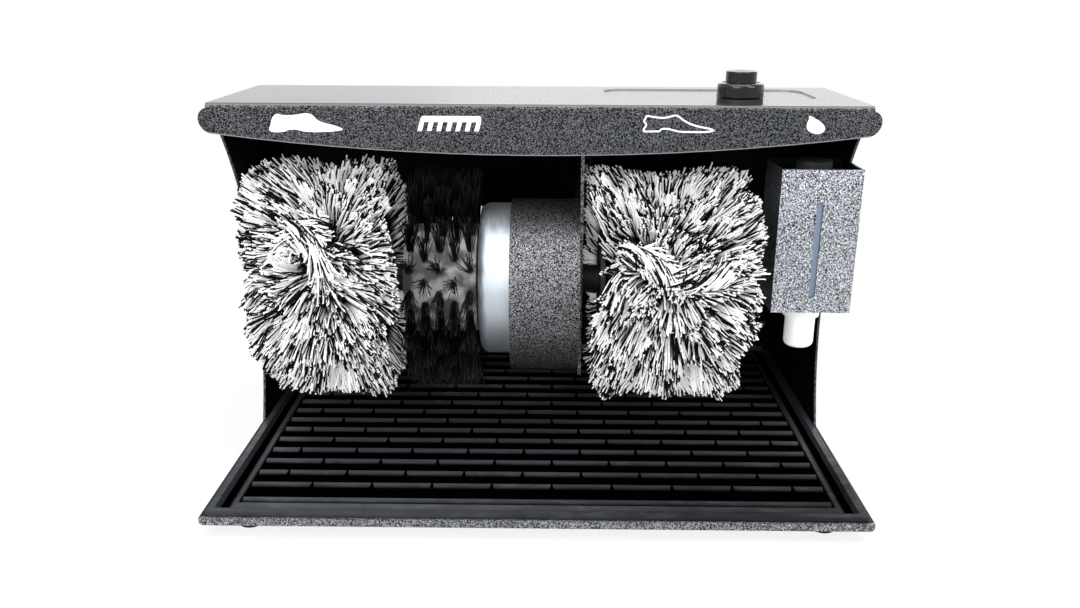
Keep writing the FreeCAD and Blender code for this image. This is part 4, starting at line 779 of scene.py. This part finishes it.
flowRadius = 0.070               # where on the brush the flow of the strands is worked out
evenSpread = {"x": 0.7548777, "angle": 0.5698403, "start": 0.31}     # no two clumps meet by these steps
cottonFlow = {
    "pulls": (12.0, 70.0),       # of the crowns, far from them and near them
    "farShare": 0.36,            # how much strands far from a crown still lean
    "upShare": 0.6,              # how much of an upward lean is kept
    "swirl": 1.5,
    "swirlScale": 42.0,
    "droop": 0.12,
    "unevenness": 0.13,
    "rounded": (0.72, 1.25),     # where the ends' rounding starts and is full, as shares of the half width
    "stubShare": 0.35,           # how far a strand would still lean if it were cut to nothing
    "heldBack": 1.2,
}
cottonBrush = {
    "Points": 5,
    "Strands in a clump": 16.0,
    "Clump spread": 0.060,
    "Clump stray": 0.0075,
    "Strand stray": 0.0030,
    "Lean": 0.038,
    "Least lean": 0.30,
    "Softness": 0.005,
    "Bend": 2.1,
    "Climb": 0.78,
    "Root radius": 0.027,
    "Tip radius": 0.0825,
    "End rounding": 0.18,
    "Shortest": 0.84,
    "Ripple": 0.008,
    "Ripple scale": 120.0,
    "Strand width": 0.00125,
    "Strand thickness": 0.0009,
}
tipInset = 0.002                 # from the brush's ends to the outermost tips
rootInset = 0.006                # from the hub's ends to the outermost roots
# the dark root tones are painted shade
whiteCotton = ((0.004, 0.004, 0.005), (0.97, 0.975, 0.985))      # tones at the root and at the tip
blackCotton = ((0.001, 0.001, 0.001), (0.002, 0.002, 0.003))
cottonLayers = (
    # name, strands, seed, tones
    ("whiteOne", 7500, 3, whiteCotton),
    ("whiteTwo", 7500, 23, whiteCotton),
    ("blackOne", 6400, 43, blackCotton),
    ("blackTwo", 6400, 83, blackCotton),
)


# Places on a brush: x in millimetres from its middle, angle in degrees above its front. Strands lie
# away from a crown, are shorter in a dent and are pushed sideways in a bulge.

def crown(x, angle, swirl=0.0, weight=1.0):
    return {"x": x * mm, "arc": math.radians(angle) * flowRadius, "swirl": swirl, "weight": weight,
            "front": abs(angle) < 60.0}


def patch(x, angle, width, height):
    return {"x": x * mm, "arc": math.radians(angle) * flowRadius, "width": width * mm, "height": height * mm}


def dent(x, angle, width, height, depth):
    return {**patch(x, angle, width, height), "depth": depth}


def bulge(x, angle, width, height, push):
    return {**patch(x, angle, width, height), "push": push * mm}


leftCrowns = (
    crown(9, 41, 0.35),
    crown(3, 14, -0.25, 1.3),
    crown(12, 112, 0.4),
    crown(-10, 188, -0.4),
    crown(6, 268, 0.5),
)
leftDents = (
    dent(-52, -62, 30, 45, 0.12),
    dent(0, -88, 80, 30, 0.05),
    dent(-4, 96, 12, 40, 0.10),
    dent(30, 100, 7, 40, 0.08),
    dent(16, 72, 9, 9, 0.25),
    dent(8, 150, 16, 12, 0.3),
    dent(-30, 230, 14, 18, 0.25),
)
leftBulges = (
    bulge(-44, 62, 34, 44, -10),
    bulge(-44, -6, 24, 22, -3),
    bulge(46, 4, 30, 56, 11),
)
rightCrowns = (
    crown(-50, 30, 0, 1.2),
    crown(-26, 29, 0, 0.5),
    crown(-15, 21, 0, 0.5),
    crown(-3, 14.5, 0.15, 0.6),
    crown(12, 13.5, 0.15, 0.6),
    crown(28, 14.5, 0.15, 0.7),
    crown(8, 112, 0.5),
    crown(-12, 190, -0.4),
    crown(14, 262, 0.4),
)
rightDents = (
    dent(-56, 33, 26, 19, 0.85),
    dent(58, -42, 26, 34, 0.34),
    dent(0, 100, 62, 42, 0.11),
    dent(-4, 98, 22, 30, 0.06),
    dent(0, -88, 80, 30, 0.04),
    dent(4, 64, 20, 12, 0.14),
    dent(20, 160, 16, 14, 0.3),
    dent(-20, 236, 16, 16, 0.25),
)
rightBulges = (bulge(50, 40, 30, 40, 3), bulge(-50, 75, 26, 30, -3))
leftRopes = (
    # start and end as x in millimetres and degrees above the front
    {"start": (-14.0, 36.0), "end": (9.0, 18.0), "bow": 7.0, "girth": 10.0, "turns": 0.35, "strands": 560},
    {"start": (9.0, 42.0), "end": (-20.0, 30.0), "bow": 5.0, "girth": 7.0, "turns": -0.3, "strands": 300},
)
rightRopes = (
    {"start": (-34.0, 27.0), "end": (-2.0, 16.0), "bow": 4.0, "girth": 7.0, "turns": 0.8, "strands": 420},
    {"start": (-10.0, 18.0), "end": (32.0, 19.0), "bow": -5.0, "girth": 7.0, "turns": -0.6, "strands": 420},
)


def ropeTree(name, sizes, rope):
    # strands wound about a line that runs over the front of a brush
    start, given = newTree(name, sizes)
    curves, number, along = strandCurves(start, given["Strands"], sizes["Points"])
    seed = given["Seed"]
    share = chance(number, seed, -0.1, 0.85) + along * given["Length share"]
    bow = (share * math.pi).sin() * (rope["bow"] * mm)
    reachX = (rope["end"][0] - rope["start"][0]) * mm
    reachArc = math.radians(rope["end"][1] - rope["start"][1]) * flowRadius
    x = share * reachX + rope["start"][0] * mm + bow * (abs(reachArc) / (abs(reachX) + abs(reachArc)))
    arc = share * reachArc + math.radians(rope["start"][1]) * flowRadius
    arc = arc + bow * (abs(reachX) / (abs(reachX) + abs(reachArc)))
    wound = share * (rope["turns"] * math.tau) + chance(number, seed + 1.0, 0.0, math.tau)
    girth = chance(number, seed + 2.0, 0.45, 1.0) * (rope["girth"] * mm)
    loose = along ** 3.0 * given["Loose ends"]
    x = x + chance(number, seed + 3.0) * loose + given["Middle"]
    arc = arc + wound.cos() * girth + chance(number, seed + 4.0) * loose
    radius = wound.sin() * girth + given["Rope radius"] + (share * math.pi).sin() * 0.002
    place = onCylinder(x, arc / flowRadius, radius)
    curves = start.node("GeometryNodeSetPosition", {"Geometry": curves, "Position": place})
    return closeYarn(curves, given, number, along * 0.4 + 0.6)


ropeLook = {
    "Points": 8,
    "Length share": 0.5,         # how much of the rope's line one strand follows
    "Loose ends": 0.008,
    "Rope radius": 0.0715,
}
ropeShares = {"White": 0.6, "Black": 0.4}


def makeRopes(side, middle, ropes, yarns):
    pieces = []
    for place, rope in enumerate(ropes):
        for (shade, share), yarn in zip(ropeShares.items(), yarns):
            sizes = {
                **ropeLook,
                "Strands": int(rope["strands"] * share),
                "Seed": 7 + place * 20 + len(pieces),
                "Middle": middle,
                "Strand width": cottonBrush["Strand width"],
                "Strand thickness": cottonBrush["Strand thickness"],
                "Yarn": yarn,
            }
            name = side + "Rope" + shade + str(place + 1)
            pieces.append(grow(name, ropeTree(name + "Tree", sizes, rope), sizes, "brush_shaft"))
    return pieces


def makeCotton(side, crowns, dents, bulges, ropes, widening):
    pile = side + "_cotton_pile"
    low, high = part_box(pile)
    hubLow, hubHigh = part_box(side + "_cotton_hub")
    middle = (low.x + high.x) / 2
    tree = None
    pieces, yarns = [], []
    for layer, strands, seed, tones in cottonLayers:
        yarns.append(cottonYarn(side + layer.capitalize() + "Yarn", *tones))
        sizes = {
            **cottonBrush,
            "Strands": strands,
            "Seed": seed,
            "Middle": middle,
            "Widening": widening,
            "Tip half width": (high.x - low.x) / 2 - tipInset,
            "Root half width": (hubHigh.x - hubLow.x) / 2 - rootInset,
            "Yarn": yarns[-1],
        }
        if tree is None:
            tree = cottonTree(side + "CottonTree", sizes, crowns, dents, bulges)
        name = side + "Cotton" + layer[0].upper() + layer[1:]
        pieces.append(grow(name, tree, sizes, "brush_shaft"))
    pieces += makeRopes(side, middle, ropes, (yarns[0], yarns[-1]))
    for piece in pieces:
        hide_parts(pile)


makeCotton("left", leftCrowns, leftDents, leftBulges, leftRopes, 1.0)
makeCotton("right", rightCrowns, rightDents, rightBulges, rightRopes, 1.1)
print("cotton brushes")


# Bristle brush: each tuft fans out of its hole in the hub

bristleBrush = {
    "Points": 5,
    "Bristles": 3600,
    "Tufts": 80.0,
    "Columns": 5.0,
    "Rows": 16.0,
    "Root radius": 0.0345,
    "Tip radius": 0.0745,
    "Shortest": 0.84,
    "Root spread": 0.0023,
    "Tip spread": 0.0070,
    "Lean": 0.0042,
    "Lean loss": 0.8,
    "Ripple": 0.0026,
    "Ripple scale": 260.0,
    "Bristle width": 0.00052,
    "Tip share": 0.30,
    "Seed": 5,
}
columnMargin = 0.0039        # from the hub's ends to the middle of the outer columns


def bristleTree(name, sizes):
    start, given = newTree(name, sizes)
    curves, number, along = strandCurves(start, given["Bristles"], sizes["Points"])
    seed = given["Seed"]
    tuft = number.math("MODULO", given["Tufts"])
    column = (tuft / given["Rows"]).math("FLOOR")
    row = tuft - column * given["Rows"]
    stagger = column.math("MODULO", 2.0) * 0.5
    angle = (row + stagger) / given["Rows"] * math.tau
    step = (given["Last column"] - given["First column"]) / (given["Columns"] - 1.0)
    x = given["First column"] + column * step
    # a bristle's place in its tuft, on a round patch
    way = chance(number, seed, 0.0, math.tau)
    reach = chance(number, seed + 1.0, 0.0, 1.0)
    spread = given["Root spread"] + (given["Tip spread"] - given["Root spread"]) * along ** 1.4
    length = chance(number, seed + 2.0, given["Shortest"], 1.0)
    radius = given["Root radius"] + (given["Tip radius"] - given["Root radius"]) * length * along
    # the columns further from the motor lean towards it
    lean = along * given["Lean"] * (1.0 - column / given["Columns"] * given["Lean loss"])
    across = way.cos() * reach * spread + lean
    sideways = way.sin() * reach * spread
    place = onCylinder(x + across, angle + sideways / radius, radius)
    wave = wobble(place, given["Ripple scale"], 0.0, along * given["Ripple"])
    curves = start.node("GeometryNodeSetPosition", {"Geometry": curves, "Position": place, "Offset": wave})
    # painted highlight: the cut ends of some bristles are lighter
    tipHighlight = along.fade(0.7, 1.0) * chance(number, seed + 3.0, 0.0, 1.0)
    curves = keepAttribute(curves, "shade", tipHighlight)
    taper = along.fade(0.0, 0.45, 1.0, given["Tip share"])
    hairs = thicken(curves, given["Bristle width"], given["Bristle width"], 0.0, taper)
    return closeTree(hairs, given["Nylon"])


def makeBristles():
    hubLow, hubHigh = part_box("bristle_hub")
    sizes = dict(bristleBrush)
    sizes["First column"] = hubLow.x + columnMargin
    sizes["Last column"] = hubHigh.x - columnMargin
    sizes["Nylon"] = bristleNylon("blackNylon")
    tree = bristleTree("bristleTree", sizes)
    piece = grow("bristleBundles", tree, sizes, "brush_shaft")
    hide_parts("bristle_tufts")


makeBristles()
print("bristle brush")


# Signs printed on the front strip, each drawn on a unit square that is stretched to its place

signs = {
    "thickness": 0.00006,
    "stroke": 0.0010,
    "smoothSteps": 5,
}
signPlaces = {
    # from and to in X, from and to in Z
    "filledShoe": ((-0.1622, -0.1180), (0.2298, 0.2412)),
    "outlinedShoe": ((0.0625, 0.1060), (0.2308, 0.2416)),
    "drop": ((0.1600, 0.1712), (0.2306, 0.2412)),
    "brush": ((-0.0730, -0.0345), (0.2310, 0.2400)),
}
brushSign = {
    "teeth": 7,
    "slant": 0.0016,
    "corner": 0.0012,
    "barShare": 0.40,
    "toothShare": 0.48,          # of the pitch of the teeth
    "overlap": 0.0002,
}
# points of the signs, in hundredths of their width and height
filledShoeShares = (
    (3, 55), (6, 80), (12, 96), (20, 90), (32, 90), (42, 95), (52, 100), (60, 90), (66, 66), (74, 52),
    (86, 40), (97, 26), (100, 16), (94, 9), (80, 4), (62, 2), (48, 5), (42, 10), (34, 15), (26, 12),
    (20, 3), (10, 0), (1, 5), (0, 20), (2, 38),
)
outlinedShoeShares = (
    (0, 62), (2, 82), (5, 96), (15, 90), (27, 86), (36, 92), (44, 100), (50, 90), (56, 72), (66, 52),
    (78, 38), (91, 28), (99, 16), (97, 7), (84, 0), (66, 0), (50, 2), (41, 10), (33, 17), (26, 15),
    (23, 4), (12, 2), (1, 3), (0, 20), (3, 42),
)
dropShares = (
    (12, 100), (34, 90), (66, 72), (90, 50), (100, 28), (92, 10), (70, 0), (42, 2), (16, 14), (3, 34),
    (2, 58), (10, 80),
)


def smoothLoop(points, steps):
    # a closed Catmull-Rom line through the points
    loop = []
    count = len(points)
    for k in range(count):
        a, b, c, d = (Vector(points[(k + shift) % count]) for shift in (-1, 0, 1, 2))
        for step in range(steps):
            t = step / steps
            loop.append(0.5 * ((2 * b) + (c - a) * t + (2 * a - 5 * b + 4 * c - d) * t * t
                               + (3 * b - a - 3 * c + d) * t ** 3))
    return loop


def insetLoop(loop, distance):
    # the same loop moved inwards, for a sign that is only an outline
    count = len(loop)
    moved = []
    for k in range(count):
        along = (loop[(k + 1) % count] - loop[k - 1]).normalized()
        moved.append(loop[k] + Vector((along.y, -along.x)) * distance)
    return moved


def plateFromLoops(name, loops, hollow=False):
    # a thin raised plate on the front strip; of a hollow one the second loop is the hole
    sheetMesh = bmesh.new()
    front = fasciaY - signs["thickness"]
    rings = [[sheetMesh.verts.new((p.x, front, p.y)) for p in loop] for loop in loops]
    if hollow:
        outer, inner = rings
        for k in range(len(outer)):
            sheetMesh.faces.new((outer[k - 1], outer[k], inner[k], inner[k - 1]))
    else:
        for ring in rings:
            sheetMesh.faces.new(ring)
    bmesh.ops.triangulate(sheetMesh, faces=sheetMesh.faces[:])
    extruded = bmesh.ops.extrude_face_region(sheetMesh, geom=sheetMesh.faces[:])
    moved = [item for item in extruded["geom"] if isinstance(item, bmesh.types.BMVert)]
    bmesh.ops.translate(sheetMesh, verts=moved, vec=(0.0, signs["thickness"], 0.0))
    bmesh.ops.recalc_face_normals(sheetMesh, faces=sheetMesh.faces[:])
    mesh = bpy.data.meshes.new(name)
    sheetMesh.to_mesh(mesh)
    sheetMesh.free()
    mesh.materials.append(finishes["sign_white"])
    plate = addObject(name, mesh)
    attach(plate, "housing")


def stretchedLoop(shares, place):
    (left, right), (bottom, top) = place
    points = [(left + x / 100 * (right - left), bottom + z / 100 * (top - bottom)) for x, z in shares]
    return smoothLoop(points, signs["smoothSteps"])


def makeSigns():
    plateFromLoops("filledShoeSign", [stretchedLoop(filledShoeShares, signPlaces["filledShoe"])])
    outline = stretchedLoop(outlinedShoeShares, signPlaces["outlinedShoe"])
    plateFromLoops("outlinedShoeSign", [outline, insetLoop(outline, signs["stroke"])], True)
    plateFromLoops("dropSign", [stretchedLoop(dropShares, signPlaces["drop"])])
    makeBrushSign(*signPlaces["brush"])


def makeBrushSign(xPair, zPair):
    # a bar with slanted teeth below it
    teeth, slant, corner = brushSign["teeth"], brushSign["slant"], brushSign["corner"]
    bottom, top = zPair
    barLow = top - (top - bottom) * brushSign["barShare"]
    pitch = (xPair[1] - xPair[0] - slant) / (teeth - 1 + brushSign["toothShare"])
    tooth = pitch * brushSign["toothShare"]
    left = xPair[0] + slant
    right = left + pitch * (teeth - 1) + tooth
    parts = [[(left, barLow), (left + corner * 0.6, top - corner), (left + corner * 1.6, top),
              (right - corner * 0.6, top), (right, top - corner), (right, barLow)]]
    toothTop = barLow + brushSign["overlap"]
    for k in range(teeth):
        start = left + pitch * k
        parts.append([(start, toothTop), (start + tooth, toothTop),
                      (start + tooth - slant, bottom), (start - slant, bottom)])
    plateFromLoops("brushSign", [[Vector(point) for point in part] for part in parts])


makeSigns()
print("signs")


# Camera, stage and light

camera = {
    "place": (0.0075, -0.64735, 0.3118),
    "pitch": 71.72,          # degrees, the other two in radians
    "yaw": 0.011,
    "roll": 0.004,
    "lens": 31.686,
    "sensor": 36.0,
}


def makeCamera():
    data = bpy.data.cameras.new("camera")
    data.lens = camera["lens"]
    data.sensor_width = camera["sensor"]
    data.clip_start = 0.02
    data.clip_end = 20.0
    holder = addObject("camera", data)
    holder.location = camera["place"]
    holder.rotation_euler = (math.radians(camera["pitch"]), 0.0, camera["yaw"])
    holder.rotation_euler.rotate_axis("Z", camera["roll"])
    bpy.context.scene.camera = holder


lightSetup = (
    # name, place, size, power, colour
    ("topBox", (0.0, -0.25, 1.15), (1.3, 1.0), 15.0, (1.0, 1.0, 1.0)),
    ("frontBox", (-0.55, -1.15, 0.75), (0.9, 0.8), 11.0, (1.0, 0.99, 0.98)),
    ("sideBox", (0.95, -0.75, 0.95), (0.7, 0.9), 9.0, (0.97, 0.985, 1.0)),
    ("backBox", (0.3, 1.1, 0.9), (1.2, 0.9), 7.0, (1.0, 1.0, 1.0)),
)
aimPoint = Vector((0.0, 0.0, 0.12))


def makeLights():
    for name, place, size, power, tone in lightSetup:
        data = bpy.data.lights.new(name, "AREA")
        data.shape = "RECTANGLE"
        data.size, data.size_y = size
        data.energy = power
        data.color = tone
        lamp = addObject(name, data)
        lamp.location = place
        lamp.rotation_euler = (aimPoint - Vector(place)).to_track_quat("-Z", "Y").to_euler()


def seenDirectly(start):
    # 1 for what the camera sees, also in a mirror or through glass, and 0 for light on the pieces
    rays = [start.node("ShaderNodeLightPath", output="Is " + kind + " Ray")
            for kind in ("Camera", "Glossy", "Transmission")]
    return (rays[0] + rays[1] + rays[2]).math("MINIMUM", 1.0)


roomLight = 0.45             # the white room's share as a lamp


def makeWorld():
    world = bpy.data.worlds.new("whiteRoom")
    bpy.context.scene.world = world
    start = emptyTree(world)
    strength = seenDirectly(start).fade(0.0, 1.0, roomLight, 1.0)
    glow = start.node("ShaderNodeBackground", {"Color": colour(1.0), "Strength": strength})
    start.node("ShaderNodeOutputWorld", {"Surface": glow})


floorLook = {
    "size": 6.0,
    "tone": 0.86,
    "near": 0.22,            # the shadow fades out between these distances from the middle
    "far": 0.55,
    "nearShare": 0.84,
    "glow": 1.0,
}


def makeFloor():
    # pale floor that reads white to the camera and still keeps the soft shadow
    floorMesh = bmesh.new()
    bmesh.ops.create_grid(floorMesh, x_segments=1, y_segments=1, size=floorLook["size"])
    mesh = bpy.data.meshes.new("floor")
    floorMesh.to_mesh(mesh)
    floorMesh.free()
    floor = addObject("floor", mesh)
    material = bpy.data.materials.new("floorPaper")
    start = emptyTree(material)
    paper = start.node("ShaderNodeBsdfDiffuse", {"Color": colour(floorLook["tone"])})
    glow = start.node("ShaderNodeEmission", {"Color": colour(1.0), "Strength": floorLook["glow"]})
    place = start.node("ShaderNodeTexCoord", output="Object")
    away = place.node("ShaderNodeVectorMath", {0: place}, output="Value", operation="LENGTH")
    share = away.fade(floorLook["near"], floorLook["far"], floorLook["nearShare"], 1.0)
    share = share * seenDirectly(start)
    mixed = start.node("ShaderNodeMixShader", {0: share, 1: paper, 2: glow})
    start.node("ShaderNodeOutputMaterial", {"Surface": mixed})
    mesh.materials.append(material)


makeCamera()
makeLights()
makeWorld()
makeFloor()
bpy.context.scene.view_settings.view_transform = "Standard"
print("camera, light and floor")
